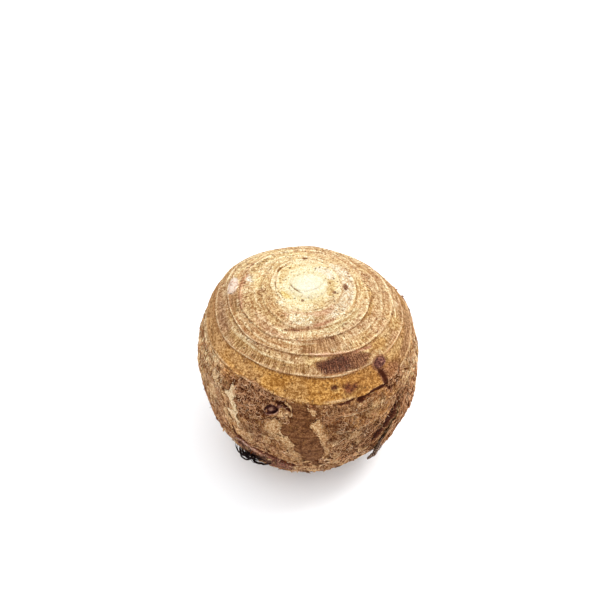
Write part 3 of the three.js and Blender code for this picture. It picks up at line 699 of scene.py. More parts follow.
HUSK_WASHES = [
    ([(-62, 76), (-56, 80), (-54, 88), (-60, 92)], None, 1.6, (208, 150, 112), (150, 96, 66), 0.8),
    ([(-56, 70), (-52, 74), (-50, 80)], 1.6, 0.8, (246, 216, 172), (196, 150, 104), 0.8),
    ([(-62, 84), (-50, 88), (-42, 94), (-34, 99)], 5.0, 2.0, (253, 216, 168), (200, 150, 106), 0.85),
    ([(-22, 79), (-14, 80), (-11, 87), (-6.5, 94), (-8, 101), (-14, 100), (-21, 92)],
     None, 1.2, (218, 182, 140), (150, 112, 74), 0.85),
    ([(-36, 88), (-24, 88), (-14, 98), (-6, 106), (-12, 108), (-30, 100)],
     None, 2.0, (184, 146, 108), (110, 74, 50), 0.75),
    ([(-30, 84), (-22, 83)], 2.6, 1.4, (178, 134, 92), (112, 74, 44), 0.6),
    # painted shade: the dark recess round the gap beside the lower-left scar
    ([(-16.5, 68.6), (-12.5, 69), (-9.6, 71.4), (-8, 75)], 1.9, 1.0, (126, 78, 56), (66, 34, 27), 0.9),
    ([(6, 69), (24, 71.2), (30, 78), (10, 78)], None, 1.2, (168, 124, 86), (98, 62, 38), 0.75),
    ([(32, 74.5), (42, 76), (46, 84), (38, 86), (30, 82)], None, 2.0,
     (206, 172, 124), (158, 120, 76), 0.95),
    FOLD_SHADOW_WASH,
    # painted shadow: the wide purple-brown shade on the left side of the groove
    ([(28, 89), (39, 91), (47, 98), (44.5, 103), (35.7, 109.5), (27, 100)],
     None, 1.6, (124, 90, 58), (74, 50, 34), 0.85),
    ([(10, 95), (20, 93), (26, 100), (30, 112), (12, 114)], None, 2.4,
     (146, 104, 70), (80, 47, 29), 0.75),
    ([(54, 82), (66, 82), (74, 96), (64, 112), (48, 124), (42, 122), (44, 110), (50, 96)],
     None, 2.0, (186, 152, 118), (98, 68, 48), 0.85),
    ([(-30, 88), (-10, 96), (-4, 110), (-14, 106), (-34, 102)], None, 2.0,
     (176, 134, 96), (112, 74, 46), 0.5),
    ([(-37, 94), (-28, 97), (-20, 98)], 5.0, 2.0, (176, 134, 98), (102, 66, 46), 0.5),
    ([(-66, 80), (-59, 88), (-55, 98)], 4.0, 2.0, (255, 226, 180), (212, 164, 118), 0.8),
    ([(14, 87), (34, 87), (34, 100), (14, 98)], None, 2.4, (146, 106, 76), (84, 52, 35), 0.5),
    ([(54, 60), (62, 68), (70, 76)], 6.0, 3.0, (214, 168, 120), (140, 98, 64), 0.5),
    ([(82, 60), (92, 64), (102, 70)], 4.0, 2.0, (200, 160, 114), (132, 94, 62), 0.45),
    SCAR_WASH,
    ([(54, 77), (58, 84), (62, 90)], 3.2, 1.6, (216, 174, 130), (152, 110, 76), 0.55),
    ([(-34, 72.5), (-28, 70), (-23, 68.5)], 3.2, 1.4, (138, 96, 70), (70, 40, 30), 0.55),
    ([(12, 98), (34, 102), (40, 120), (12, 124)], None, 2.4, (136, 96, 64), (70, 42, 27), 0.8),
    ([(-60, 110), (-30, 122), (0, 126), (30, 124), (50, 120)], 3.0, 1.5,
     (222, 188, 150), (136, 100, 76), 0.85),
]
BAND_WASHES = [  # laid last
    # the smooth reddish band, its paler left part and the line below that
    (RED_OUTLINE, None, 0.8, (138, 86, 70), (70, 34, 28), 1.0),
    ([(-41, 107.5), (-34, 110.4), (-26.5, 113.2)], 1.7, 0.7, (208, 170, 152), (142, 102, 88), 0.9),
    ([(-40, 112.6), (-34, 114.8), (-27, 117), (-20, 119)], 1.1, 0.6, (70, 36, 32), (34, 14, 14), 0.9),
    # painted shade and painted light: soft darker and lighter areas that cross the patches of the husk
    ([(-55, 78), (-53, 88), (-47, 98)], 4.4, 2.0, (248, 212, 170), (184, 142, 104), 0.6),
    ([(-37.4, 73), (-36.6, 79), (-35, 86)], 1.5, 1.2, (138, 96, 72), (66, 38, 30), 0.6),
    ([(-46.4, 80.4), (-43.6, 83)], 1.3, 1.0, (150, 108, 80), (84, 52, 38), 0.6),
    ([(-37, 92), (-28, 95), (-19, 97), (-19, 104), (-30, 104)], None, 2.0,
     (132, 94, 72), (76, 46, 36), 0.35),
    ([(13, 84), (32, 89), (31, 112), (14, 104)], None, 2.4, (118, 82, 55), (64, 38, 26), 0.35),
    ([(27, 74), (33, 73.4), (41, 73.6)], 0.55, 0.4, (240, 204, 160), (204, 160, 116), 0.75),
]
STRING_REGIONS = [  # where the fine marks run down instead of along the rings
    [(-66, 47.5), (-30, 47.5), (0, 48), (1, 55), (-30, 53.5), (-66, 54.5)],
    [(-4, 36), (28, 36), (50, 41), (50, 48.5), (20, 45), (-4, 43.5)],
    [(-26, 29), (4, 28), (6, 35), (-24, 36)],
]


def base_pair(table, ring):
    """Light and deep colour at ring coordinates, from a table of stops."""
    stops = [row[0] for row in table]
    pair = []
    for column in (1, 2):
        colours = np.array([seen(row[column]) for row in table])
        channels = [np.interp(ring, stops, colours[:, k]) for k in range(3)]
        pair.append(np.stack(channels, axis=-1))
    return pair


def lay(pair, mask, light, deep):
    """Mixes a light and a deep colour into a pair by a mask."""
    colours = (seen(light), seen(deep))
    return [old + mask[:, None] * (new - old) for old, new in zip(pair, colours)]


def wash(pair, washes, azimuth, polar, ragged):
    """Lays a list of washes over a pair, with ragged edges."""
    for points, half_width, soft, light, deep, share in washes:
        if half_width is None:
            reach = inside_outline(azimuth, polar, points)
        else:
            reach = inside_line(azimuth, polar, points, half_width)
        mask = share * smoothstep(reach + ragged * soft, -soft, soft)
        pair = lay(pair, mask, light, deep)
    return pair


def lay_brown_band(pair, azimuth, ring, place):
    """The browner band of skin just above the husk, with a darker right end and pale patches."""
    side = turned(azimuth, 0)
    band = smoothstep(ring, 4.99, 5.05) * smoothstep(ring, 6.12, 5.98)
    front = smoothstep(np.abs(side), 66, 42)
    pair = lay(pair, band * (0.35 + 0.65 * front), (230, 172, 96), (160, 104, 42))
    right = smoothstep(side, 12, 30) * smoothstep(side, 60, 46)
    pair = lay(pair, 0.6 * band * right, (208, 150, 86), (142, 88, 40))
    pale_band = band * front * smoothstep(fractal(place, 12.0, 55, 2), 0.0, 0.5)
    return lay(pair, 0.5 * pale_band, (214, 170, 116), (160, 114, 64))


def flesh_pair(azimuth, polar, ring):
    """Light and deep colour of the skin where no husk lies on it."""
    place = place_of(azimuth, polar)
    wander = 0.22 * fractal(place, 9.0, 51, 3) * smoothstep(ring, -0.1, 0.6)
    smooth_layer = smoothstep(ring, 5.9, 6.0)
    pair = base_pair(FLESH_COLOURS, ring + wander * (1 - smooth_layer))
    upper = smoothstep(ring, 0.1, 0.6) * smoothstep(ring, 5.2, 4.6)
    for share, size, seed, low, high, light, deep in UPPER_PATCHES:
        patch = smoothstep(fractal(place, size, seed, 3), low, high)
        pair = lay(pair, share * upper * patch, light, deep)
    pair = lay_brown_band(pair, azimuth, ring, place)
    ragged = 1.2 * fractal(place, 2.6, 56, 2)
    pair = wash(pair, FLESH_WASHES, azimuth, polar, ragged)
    ragged = 0.4 * noise(place, 2.2, 61)
    # painted shadow: a darker orange-brown strip just below each ridge
    for line, half_width, _, share in RIDGES:
        below = ridge_share(azimuth, polar - 1.0, line, half_width, ragged)
        pair = lay(pair, 0.8 * share * below, (214, 164, 100), (166, 116, 62))
    for line, half_width, _, share in RIDGES:
        mask = share * ridge_share(azimuth, polar, line, half_width, ragged)
        pair = lay(pair, 0.9 * mask, (252, 238, 200), (240, 212, 162))
    return pair


def husk_pair(azimuth, polar, ring):
    """Light and deep colour of the husk."""
    place = place_of(azimuth, polar)
    pair = base_pair(HUSK_COLOURS, ring)
    wander = fractal(place, 15.0, 63, 3)
    off = np.abs(turned(azimuth, 0)) + 16 * wander
    far = smoothstep(off, 46, 72)
    high = smoothstep(polar + 14 * fractal(place, 13.0, 64, 3), 106, 90)
    behind = smoothstep(off, 100, 150)
    pair = lay(pair, far * high * (0.95 - 0.35 * behind), (255, 240, 194), (234, 186, 132))
    pair = lay(pair, 0.75 * far * (1 - high), (232, 188, 140), (152, 106, 66))
    ragged = 1.2 * fractal(place, 3.0, 57, 2)
    pair = wash(pair, HUSK_WASHES, azimuth, polar, ragged)
    patch = fractal(place * [1, 1, 0.75], 8.0, 58, 4)
    pair = lay(pair, 0.75 * smoothstep(patch, 0.18, 0.34), (234, 194, 148), (162, 116, 74))
    dim = 0.8 * (1 - 0.6 * far * high)
    pair = lay(pair, dim * smoothstep(patch, -0.16, -0.32), (150, 98, 62), (78, 44, 27))
    pair = wash(pair, BAND_WASHES, azimuth, polar, ragged)
    owner, edge = plates(azimuth, polar)
    tone = 0.86 + 0.3 * owner + 0.14 * np.exp(-((edge / 0.6) ** 2))
    return [colour * tone[:, None] for colour in pair]


# ---------- meshes ----------
def new_object(name, points, faces, material, smooth=True, attributes=None):
    """A mesh object from points in millimetres and faces, with named point attributes."""
    mesh = bpy.data.meshes.new(name)
    mesh.from_pydata((points * MM).tolist(), [], [list(face) for face in faces])
    for key, values in (attributes or {}).items():
        if values.ndim == 2:
            layer = mesh.attributes.new(key, "FLOAT_VECTOR", "POINT")
            layer.data.foreach_set("vector", values.astype(np.float32).ravel())
        else:
            layer = mesh.attributes.new(key, "FLOAT", "POINT")
            layer.data.foreach_set("value", values.astype(np.float32))
    mesh.polygons.foreach_set("use_smooth", [smooth] * len(mesh.polygons))
    mesh.materials.append(material)
    mesh.update()
    piece = bpy.data.objects.new(name, mesh)
    bpy.context.scene.collection.objects.link(piece)
    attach(piece, "root")
    return piece


def grid_faces(rows, columns, wrap, start=0, flip=False):
    """Quads of a grid of points laid row by row, as an array."""
    row = np.arange(rows - 1)[:, None]
    column = np.arange(columns if wrap else columns - 1)[None, :]
    here = start + row * columns + column
    beside = start + row * columns + (column + 1) % columns
    quads = np.stack([here, here + columns, beside + columns, beside], axis=-1).reshape(-1, 4)
    return quads[:, ::-1] if flip else quads


def end_fans(start, last, columns, first_point, last_point):
    """Triangles that close a wrapped grid whose end rows begin at start and last, by two points."""
    faces = []
    for column in range(columns):
        beside = (column + 1) % columns
        faces.append([first_point, start + column, start + beside])
        faces.append([last_point, last + beside, last + column])
    return faces


def joined(meshes):
    """Points and faces of several meshes as one."""
    points, faces = [], []
    start = 0
    for found, polygons in meshes:
        points.append(found)
        faces += [[index + start for index in polygon] for polygon in polygons]
        start += len(found)
    return np.concatenate(points), faces


def turn_out(piece):
    """Makes every face of a closed piece look outward."""
    bpy.context.view_layer.objects.active = piece
    piece.select_set(True)
    bpy.ops.object.mode_set(mode="EDIT")
    bpy.ops.mesh.select_all(action="SELECT")
    bpy.ops.mesh.normals_make_consistent(inside=False)
    bpy.ops.object.mode_set(mode="OBJECT")
    piece.select_set(False)


# ---------- materials ----------
def warm(level):
    """A factor for colours: darks turn redder and lights paler, as in grown skin."""
    red, blue = (0.62, 1.7) if level < 1 else (0.86, 1.14)
    return (level**red, level, level**blue, 1.0)


def ramp_stops(colours):
    """Stops of a ramp, from places and 8-bit colours."""
    return [(place, shade(*tone)) for place, tone in colours]


class Painter:
    """Short names for the nodes of one material. A value may be a socket or a plain number."""

    def __init__(self, name):
        self.material = bpy.data.materials.new(name)
        self.material.use_nodes = True
        self.tree = self.material.node_tree
        self.shader = self.tree.nodes["Principled BSDF"]

    def node(self, kind, **settings):
        """A new node with some of its settings."""
        made = self.tree.nodes.new(kind)
        for key, value in settings.items():
            setattr(made, key, value)
        return made

    def link(self, source, socket):
        """Joins a socket to another one, or gives it a plain value."""
        if isinstance(source, bpy.types.NodeSocket):
            self.tree.links.new(source, socket)
        else:
            socket.default_value = source

    def attribute(self, name, output="Fac"):
        """What the mesh says at a point under a name."""
        return self.node("ShaderNodeAttribute", attribute_name=name).outputs[output]

    def math(self, operation, first, second=0.0, third=None):
        """One sum of two or three values."""
        made = self.node("ShaderNodeMath", operation=operation)
        self.link(first, made.inputs[0])
        self.link(second, made.inputs[1])
        if third is not None:
            self.link(third, made.inputs[2])
        return made.outputs[0]

    def ragged(self, value, noise, reach):
        """A value pushed up and down by a noise, by half the reach at most."""
        return self.math("ADD", value, self.math("MULTIPLY_ADD", noise, reach, -reach / 2))

    def noise_node(self, vector, size, detail, roughness, distortion=0.0):
        """Noise with features of about the given size in millimetres."""
        made = self.node("ShaderNodeTexNoise")
        self.link(vector, made.inputs["Vector"])
        made.inputs["Scale"].default_value = 1 / size
        made.inputs["Detail"].default_value = detail
        made.inputs["Roughness"].default_value = roughness
        made.inputs["Distortion"].default_value = distortion
        return made

    def noise(self, vector, size, detail=2.0, roughness=0.5, distortion=0.0):
        """Grey noise from 0 to 1."""
        return self.noise_node(vector, size, detail, roughness, distortion).outputs["Fac"]

    def cell_node(self, vector, size):
        """Irregular cells of about the given size in millimetres."""
        made = self.node("ShaderNodeTexVoronoi")
        self.link(vector, made.inputs["Vector"])
        made.inputs["Scale"].default_value = 1 / size
        return made

    def cells(self, vector, size):
        """Distance to the middle of the nearest irregular cell."""
        return self.cell_node(vector, size).outputs["Distance"]

    def tones(self, vector, size):
        """One random grey for each irregular cell."""
        made = self.node("ShaderNodeSeparateColor")
        self.link(self.cell_node(vector, size).outputs["Color"], made.inputs[0])
        return made.outputs["Red"]

    def warped(self, vector, size, reach):
        """A vector pushed about by noise, for ragged edges."""
        made = self.node("ShaderNodeVectorMath", operation="MULTIPLY_ADD")
        self.link(self.noise_node(vector, size, 4.0, 0.65).outputs["Color"], made.inputs[0])
        made.inputs[1].default_value = (reach, reach, 1.2 * reach)
        self.link(vector, made.inputs[2])
        return made.outputs["Vector"]

    def between(self, value, low, high, to_low=0.0, to_high=1.0):
        """A value carried softly from one range to another."""
        made = self.node("ShaderNodeMapRange", interpolation_type="SMOOTHSTEP")
        self.link(value, made.inputs["Value"])
        made.inputs["From Min"].default_value = low
        made.inputs["From Max"].default_value = high
        made.inputs["To Min"].default_value = to_low
        made.inputs["To Max"].default_value = to_high
        return made.outputs["Result"]

    def mix(self, share, first, second, blend="MIX"):
        """The first colour at share 0 and the second at 1."""
        made = self.node("ShaderNodeMix", data_type="RGBA", blend_type=blend)
        self.link(share, made.inputs[0])
        self.link(first, made.inputs[6])
        self.link(second, made.inputs[7])
        return made.outputs[2]

    def over(self, colour, share, strength, tone):
        """A colour with a tone laid over it by a share, at some strength."""
        return self.mix(self.math("MULTIPLY", share, strength), colour, tone)

    def ramp(self, value, stops):
        """A colour read from stops of (place, colour) by a value."""
        made = self.node("ShaderNodeValToRGB")
        self.link(value, made.inputs[0])
        elements = made.color_ramp.elements
        while len(elements) < len(stops):
            elements.new(0.5)
        for element, (position, colour) in zip(elements, stops):
            element.position = position
            element.color = colour
        return made.outputs["Color"]

    def hairlines(self, vector, size, width, distortion=0.6):
        """Thin wandering lines, 1 on the line."""
        level = self.noise(vector, size, 1.0, 0.5, distortion)
        off = self.math("ABSOLUTE", self.math("SUBTRACT", level, 0.5))
        return self.between(off, width, 0.3 * width)

    def scaled(self, colour, factor):
        """A colour times another one, which makes it darker or lighter."""
        return self.mix(1.0, colour, factor, "MULTIPLY")

    def varied(self, colour, value, spread, dark, bright):
        """A colour made darker where a value is below 0.5 and brighter where it is above."""
        stops = [(0.5 - spread, warm(dark)), (0.5, warm(1.0)), (0.5 + spread, warm(bright))]
        return self.scaled(colour, self.ramp(value, stops))

    def bump(self, height, strength, distance):
        """Fine relief from a height, over a distance in millimetres."""
        made = self.node("ShaderNodeBump")
        made.inputs["Strength"].default_value = strength
        made.inputs["Distance"].default_value = distance * MM
        self.link(height, made.inputs["Height"])
        self.link(made.outputs["Normal"], self.shader.inputs["Normal"])

    def finish(self, colour, roughness, specular):
        """Gives the shader its colour, roughness and shine; the material is then ready."""
        self.link(colour, self.shader.inputs["Base Color"])
        self.link(roughness, self.shader.inputs["Roughness"])
        self.link(specular, self.shader.inputs["Specular IOR Level"])
        return self.material


# Dots of the flesh skin: size of their cells, reach, noise level they need, colour.
DOT_SIZES = [
    (1.7, 0.34, 0.46, (150, 104, 60)),
    (2.6, 0.26, 0.44, (120, 84, 46)),
    (4.2, 0.18, 0.42, (104, 70, 44)),
]
# Papery plates with crisp ragged edges: size, darkest and brightest level.
PAPER_PLATES = [(6.5, 0.76, 1.28), (2.3, 0.78, 1.26)]


def husk_look(paint, place, down, light, deep):
    """Fuzzy papery colour from a light and a deep one, with the height of its marks."""
    strings = paint.noise(down, 0.8, 3.0, 0.65)
    mottle = paint.noise(place, 1.1, 4.0, 0.7, 0.4)
    fine = paint.math("MULTIPLY_ADD", strings, 0.35, paint.math("MULTIPLY", mottle, 0.65))
    colour = paint.mix(paint.between(fine, 0.44, 0.56), deep, light)
    reddish = paint.between(paint.noise(place, 4.5, 2.0), 0.42, 0.6)
    colour = paint.over(colour, reddish, 0.4, paint.scaled(colour, (1.08, 0.9, 0.78, 1.0)))
    height = fine
    for size, low, high in PAPER_PLATES:
        plate = paint.tones(paint.warped(place, 0.45 * size, 0.7 * size), size)
        tone = [(0.12, warm(low)), (0.3, warm(1.0)), (0.74, warm(1.0)), (0.84, warm(high))]
        colour = paint.scaled(colour, paint.ramp(plate, tone))
        height = paint.math("MULTIPLY_ADD", plate, 0.5, height)
    colour = paint.over(colour, paint.hairlines(place, 2.6, 0.022), 0.55, shade(84, 46, 28))
    colour = paint.over(colour, paint.hairlines(place, 1.9, 0.024, 1.2), 0.5, shade(240, 202, 156))
    return colour, height


def stained(paint, mottle, grain, strings, colour):
    """Lays the purple-brown stain and the matted patches over a colour."""
    flecks = paint.mix(0.5, grain, strings)
    reach = paint.ragged(paint.attribute("dark"), mottle, 5.0)
    brown = paint.mix(paint.between(flecks, 0.42, 0.6), shade(90, 50, 36), shade(168, 116, 82))
    purple = paint.mix(paint.between(flecks, 0.44, 0.64), shade(66, 32, 28), shade(136, 82, 60))
    brown = paint.mix(paint.between(paint.attribute("dark_core"), 0.2, 0.9), brown, purple)
    colour = paint.over(colour, paint.between(reach, -0.4, 1.2), 0.95, brown)
    reach = paint.ragged(paint.attribute("tangle"), mottle, 6.0)
    matted = paint.mix(paint.between(grain, 0.42, 0.58), shade(104, 54, 34), shade(186, 130, 88))
    return paint.over(colour, paint.between(reach, -0.5, 1.8), 0.85, matted)


def dotted(paint, place, ring, colour):
    """Adds small brown root dots and olive specks to the flesh skin."""
    for size, reach, low, tone in DOT_SIZES:
        dot = paint.between(paint.cells(place, size), reach, 0.55 * reach)
        chosen = paint.between(paint.noise(place, 2.4 * size, 1.0), low, low + 0.06)
        share = paint.math("MULTIPLY", dot, chosen)
        share = paint.math("MULTIPLY", share, paint.between(ring, -0.4, 0.15))
        colour = paint.over(colour, share, 0.72, shade(*tone))
    return colour


def fleshy(paint, place, ring, mottle, strings, blotch):
    """The flesh skin by its painted pair, with the height of its marks."""
    threads = paint.noise(paint.attribute("along", "Vector"), 0.9, 2.0, 0.6)
    marks = paint.mix(0.3, mottle, threads)
    marks = paint.over(marks, paint.attribute("stringy"), 0.75, strings)
    marks = paint.math("MULTIPLY_ADD", marks, 0.8, paint.math("MULTIPLY", blotch, 0.2))
    deep = paint.attribute("deep", "Color")
    light = paint.attribute("light", "Color")
    flesh = paint.mix(paint.between(marks, 0.43, 0.57), deep, light)
    return dotted(paint, place, ring, flesh), marks


def rimmed(paint, husk_edge, blotch, colour):
    """Lays the pale rim along the husk's edge over a colour."""
    rim = paint.math("MULTIPLY", paint.between(husk_edge, 0.0, 0.12), paint.between(husk_edge, 0.6, 0.2))
    rim = paint.math("MULTIPLY", rim, paint.between(blotch, 0.45, 0.6))
    return paint.over(colour, rim, 0.7, shade(226, 190, 146))


def ringed(paint, ring, blotch, colour):
    """Pale ring edges with a brown line of painted shadow under them."""
    edge = paint.attribute("edge")
    share = paint.math("FRACT", paint.ragged(ring, blotch, 0.1))
    pale = paint.math("MULTIPLY", paint.between(share, 0.82, 0.9), paint.between(share, 0.995, 0.96))
    colour = paint.over(colour, paint.math("MULTIPLY", pale, edge), 0.7, shade(250, 220, 176))
    # painted shadow: a brown line just under each lip
    under = paint.math("MULTIPLY", paint.between(share, 0.12, 0.0), edge)
    return paint.over(colour, under, 0.5, shade(160, 108, 66))


def spotted(paint, ring, mottle, grain, colour):
    """Brown spots, and dark gaps whose colour, darker the deeper they are, is painted shade."""
    spots = paint.ragged(paint.attribute("spot"), mottle, 0.9)
    spot_colour = paint.mix(paint.between(grain, 0.4, 0.6), shade(92, 48, 34), shade(158, 104, 72))
    colour = paint.over(colour, paint.between(spots, 0.2, 0.6), 0.85, spot_colour)
    gap = paint.ragged(paint.attribute("gap"), mottle, 0.5)
    # painted shade in the gaps, darker in the deeper ones
    gap_shade = paint.mix(paint.between(ring, 4.5, 5.5), shade(150, 104, 60), shade(96, 52, 36))
    gap_shade = paint.mix(paint.between(gap, 0.7, 1.2), gap_shade, shade(72, 38, 27))
    gap_shade = paint.mix(paint.between(gap, 1.2, 1.7), gap_shade, shade(76, 41, 34))
    return paint.mix(paint.between(gap, 0.05, 0.4), colour, gap_shade)


def hollow_shade_and_grain(paint, ring, grain, colour):
    """Painted shade in hollows and painted light on crests, slow changes of tone, and grain over everything.
    """
    share = paint.between(ring, -0.3, 1.5, 0.35, 0.85)
    share = paint.math("ADD", share, paint.between(ring, 5.5, 6.3, 0.0, 0.15))
    # painted shade and painted light: darker in the skin's hollows, lighter on its crests
    colour = paint.mix(share, colour, paint.varied(colour, paint.attribute("cavity"), 0.5, 0.45, 1.35))
    colour = paint.varied(colour, paint.attribute("tone"), 0.5, 0.6, 1.4)
    return paint.mix(share, colour, paint.varied(colour, grain, 0.12, 0.45, 1.6))


def skin_material():
    """Cream to tan flesh skin by its painted pairs, husk over it, marks on both."""
    paint = Painter("taro_skin")
    place = paint.attribute("place", "Vector")
    down = paint.attribute("down", "Vector")
    ring = paint.attribute("ring")
    grain = paint.noise(place, 0.5, 2.0, 0.6)
    mottle = paint.noise(place, 1.2, 3.0, 0.7)
    blotch = paint.noise(place, 3.6, 2.0, 0.6)
    strings = paint.noise(down, 0.8, 3.0, 0.6)
    flesh, flesh_height = fleshy(paint, place, ring, mottle, strings, blotch)
    husk_light = paint.attribute("husk_light", "Color")
    husk_deep = paint.attribute("husk_deep", "Color")
    husk, husk_height = husk_look(paint, place, down, husk_light, husk_deep)
    husk_edge = paint.ragged(paint.attribute("husk"), grain, 1.6)
    covered = paint.between(husk_edge, -0.06, 0.1)
    colour = paint.mix(covered, flesh, husk)
    colour = rimmed(paint, husk_edge, blotch, colour)
    colour = stained(paint, mottle, grain, strings, colour)
    colour = ringed(paint, ring, blotch, colour)
    colour = spotted(paint, ring, mottle, grain, colour)
    colour = hollow_shade_and_grain(paint, ring, grain, colour)
    height = paint.mix(covered, flesh_height, husk_height)
    paint.bump(paint.math("MULTIPLY_ADD", grain, 0.4, height), 0.7, 0.6)
    return paint.finish(colour, paint.between(ring, 0.0, 6.0, 0.6, 0.85), 0.05)


def husk_material():
    """Loose papery husk: its painted pair, paler where `pale` says so."""
    paint = Painter("taro_husk")
    place = paint.attribute("place", "Vector")
    down = paint.attribute("down", "Vector")
    pale = paint.attribute("pale")
    light = paint.attribute("light", "Color")
    deep = paint.attribute("deep", "Color")
    colour, fine = husk_look(paint, place, down, light, deep)
    worn = paint.noise(place, 1.2, 4.0, 0.7)
    cream = paint.mix(paint.between(worn, 0.42, 0.58), shade(188, 136, 88), shade(246, 206, 156))
    colour = paint.mix(paint.between(pale, 0.0, 1.0), colour, cream)
    colour = paint.over(colour, paint.between(pale, 1.0, 2.0), 0.9, shade(255, 226, 184))
    colour = paint.varied(colour, paint.noise(place, 0.5, 2.0, 0.6), 0.12, 0.5, 1.5)
    paint.bump(fine, 0.6, 0.5)
    return paint.finish(colour, 0.85, 0.04)


FIBRE_COLOURS = [
    (0.0, (52, 24, 14)),
    (0.3, (128, 68, 38)),
    (0.6, (202, 142, 94)),
    (0.85, (262, 200, 150)),
    (1.0, (278, 240, 200)),
]
SCAR_COLOURS = [
    (0.0, (38, 16, 18)),
    (0.3, (92, 52, 46)),
    (0.6, (176, 132, 112)),
    (0.85, (244, 198, 156)),
    (1.0, (272, 236, 200)),
]


def fibre_material(name, colours):
    """Strings, hairs or the walls of a scar, from dark (0) to pale (1) by `shade`."""
    paint = Painter(name)
    colour = paint.ramp(paint.attribute("shade"), ramp_stops(colours))
    mottle = paint.noise(paint.attribute("place", "Vector"), 1.2, 2.0)
    return paint.finish(paint.varied(colour, mottle, 0.2, 0.78, 1.1), 0.9, 0.0)


BUD_DARK = [(0.34, (58, 28, 26)), (0.46, (104, 60, 52)), (0.56, (156, 102, 84)), (0.7, (222, 168, 138))]
BUD_PALE = [(0.34, (196, 138, 118)), (0.44, (240, 202, 178)), (0.56, (255, 238, 216)), (0.7, (255, 250, 236))]


def bud_material():
    """A closed bud: purple-brown or pinkish cream by `pale`, lighter where its noise is high."""
    paint = Painter("taro_bud")
    mottle = paint.noise(paint.attribute("place", "Vector"), 0.9, 3.0, 0.6)
    tip = paint.math("MULTIPLY", paint.attribute("tip"), 0.15)
    streak = paint.math("MULTIPLY_ADD", mottle, 0.85, tip)
    dark = paint.ramp(streak, ramp_stops(BUD_DARK))
    pale = paint.ramp(streak, ramp_stops(BUD_PALE))
    paint.bump(mottle, 0.8, 0.5)
    return paint.finish(paint.mix(paint.attribute("pale"), dark, pale), 0.7, 0.05)


def tuft_material(name, colours):
    """Dead roots, with mottling between the given colours."""
    paint = Painter(name)
    mottle = paint.noise(paint.attribute("place", "Vector"), 0.8, 3.0, 0.6)
    paint.bump(mottle, 0.5, 0.3)
    return paint.finish(paint.ramp(mottle, ramp_stops(colours)), 0.6, 0.03)


def floor_material():
    """Nearly white paper."""
    paint = Painter("floor_paper")
    coordinates = paint.node("ShaderNodeTexCoord").outputs["Object"]
    paper = [(0.3, (0.895, 0.91, 0.93, 1.0)), (0.7, (0.915, 0.93, 0.95, 1.0))]
    return paint.finish(paint.ramp(paint.noise(coordinates, 0.4, 2.0), paper), 0.9, 0.5)


# ---------- the skin ----------
COLUMNS = 408
BAND_ROWS = [0, 0.03, 0.08, 0.15, 0.22, 0.29, 0.36, 0.43, 0.5, 0.57, 0.64, 0.71, 0.78, 0.845,
             0.9, 0.94, 0.972]
LOW_BAND_ROWS = [0, 0.05, 0.14, 0.25, 0.38, 0.52, 0.66, 0.8, 0.9, 0.96]
FIRST_LOW_BAND = 11
CROWN_ROWS = [-1 + k / 23 for k in range(1, 23)]


def tone_of(azimuth, polar):
    """0.5 is neutral; less is darker and more is lighter."""
    brighter = 0.1 * smoothstep(np.abs(turned(azimuth, -95)), 110, 60) * smoothstep(polar, 8, 20)
    return np.clip(0.5 + brighter + 0.12 * fractal(place_of(azimuth, polar), 20.0, 41, 4), 0, 1)


def edge_of(azimuth, ring):
    """How strongly the pale edge of the ring below, or its shadow above, shows."""
    shown = 0.1 * smoothstep(ring, 6.2, 5.8)
    nearest = np.round(ring).astype(int)
    for index, start, end, strength in EDGES:
        half = (end - start) / 2
        off = np.abs(turned(azimuth, (start + end) / 2))
        within = 1.0 if half >= 180 else smoothstep(off, half + 3, half - 3)
        shown = np.where(nearest == index, np.maximum(shown, strength * within), shown)
    breaks = noise(ring_grain(azimuth, np.round(ring), 14.0), 2.0, 43)
    return shown * smoothstep(breaks, -0.7, 0.3)


def cavity_of(height):
    """0 in hollows and 1 on crests of a grid of heights, 0.5 where it is level; the skin's material paints
    shade and light by it.
    """
    around = sum(np.roll(height, shift, axis=1) for shift in range(-3, 4)) / 7
    padded = np.pad(around, ((4, 4), (0, 0)), mode="edge")
    rows = height.shape[0]
    mean = sum(padded[shift:shift + rows] for shift in range(9)) / 9
    return np.clip(0.5 + (height - mean) / 0.9, 0, 1)


def spot_cover(azimuth, polar):
    """How brown the skin is in its spots, along the rims of scars and round buds."""
    spot = np.zeros_like(azimuth)
    for a, p, half_length, half_height, strength in SPOTS:
        share = spot_share(azimuth, polar, 2.6 * half_length, 2.6 * half_height, a, p)
        spot = np.maximum(spot, strength * share)
    for a, p, length, width, _ in SCARS:
        spot = np.maximum(spot, 1.2 * rim_share(azimuth, polar, 0.85, 0.3, length, width, a, p))
    for a, p, length, width, _, pale in BUDS:
        spot = np.maximum(spot, (0.8 - 0.6 * pale) * collar(azimuth, polar, length, width, a, p))
    return spot


def skin_attributes(azimuth, polar, ring, cavity):
    """Everything the skin's material reads at its points."""
    light, deep = flesh_pair(azimuth, polar, ring)
    husk_light, husk_deep = husk_pair(azimuth, polar, ring)
    strings = [inside_outline(azimuth, polar, outline) for outline in STRING_REGIONS]
    dark = inside_outline(azimuth, polar, DARK_OUTLINE)
    return {
        "place": place_of(azimuth, polar),
        "down": down_grain(azimuth, polar),
        "along": ring_grain(azimuth, ring),
        "ring": ring,
        "light": light,
        "deep": deep,
        "husk_light": husk_light,
        "husk_deep": husk_deep,
        "husk": husk_cover(azimuth, polar, ring),
        "dark": dark,
        "dark_core": smoothstep(dark, 0.3, 2.2) * smoothstep(np.abs(turned(azimuth, 17)), 15, 7),
        "tangle": np.maximum(
            inside_outline(azimuth, polar, TANGLE_OUTLINE),
            inside_outline(azimuth, polar, SCAR_OUTLINE),
        ),
        "edge": edge_of(azimuth, ring),
        "gap": gap_depth(azimuth, polar),
        "spot": spot_cover(azimuth, polar),
        "stringy": smoothstep(np.max(strings, axis=0), -1.5, 1.5),
        "cavity": cavity,
        "tone": tone_of(azimuth, polar),
    }


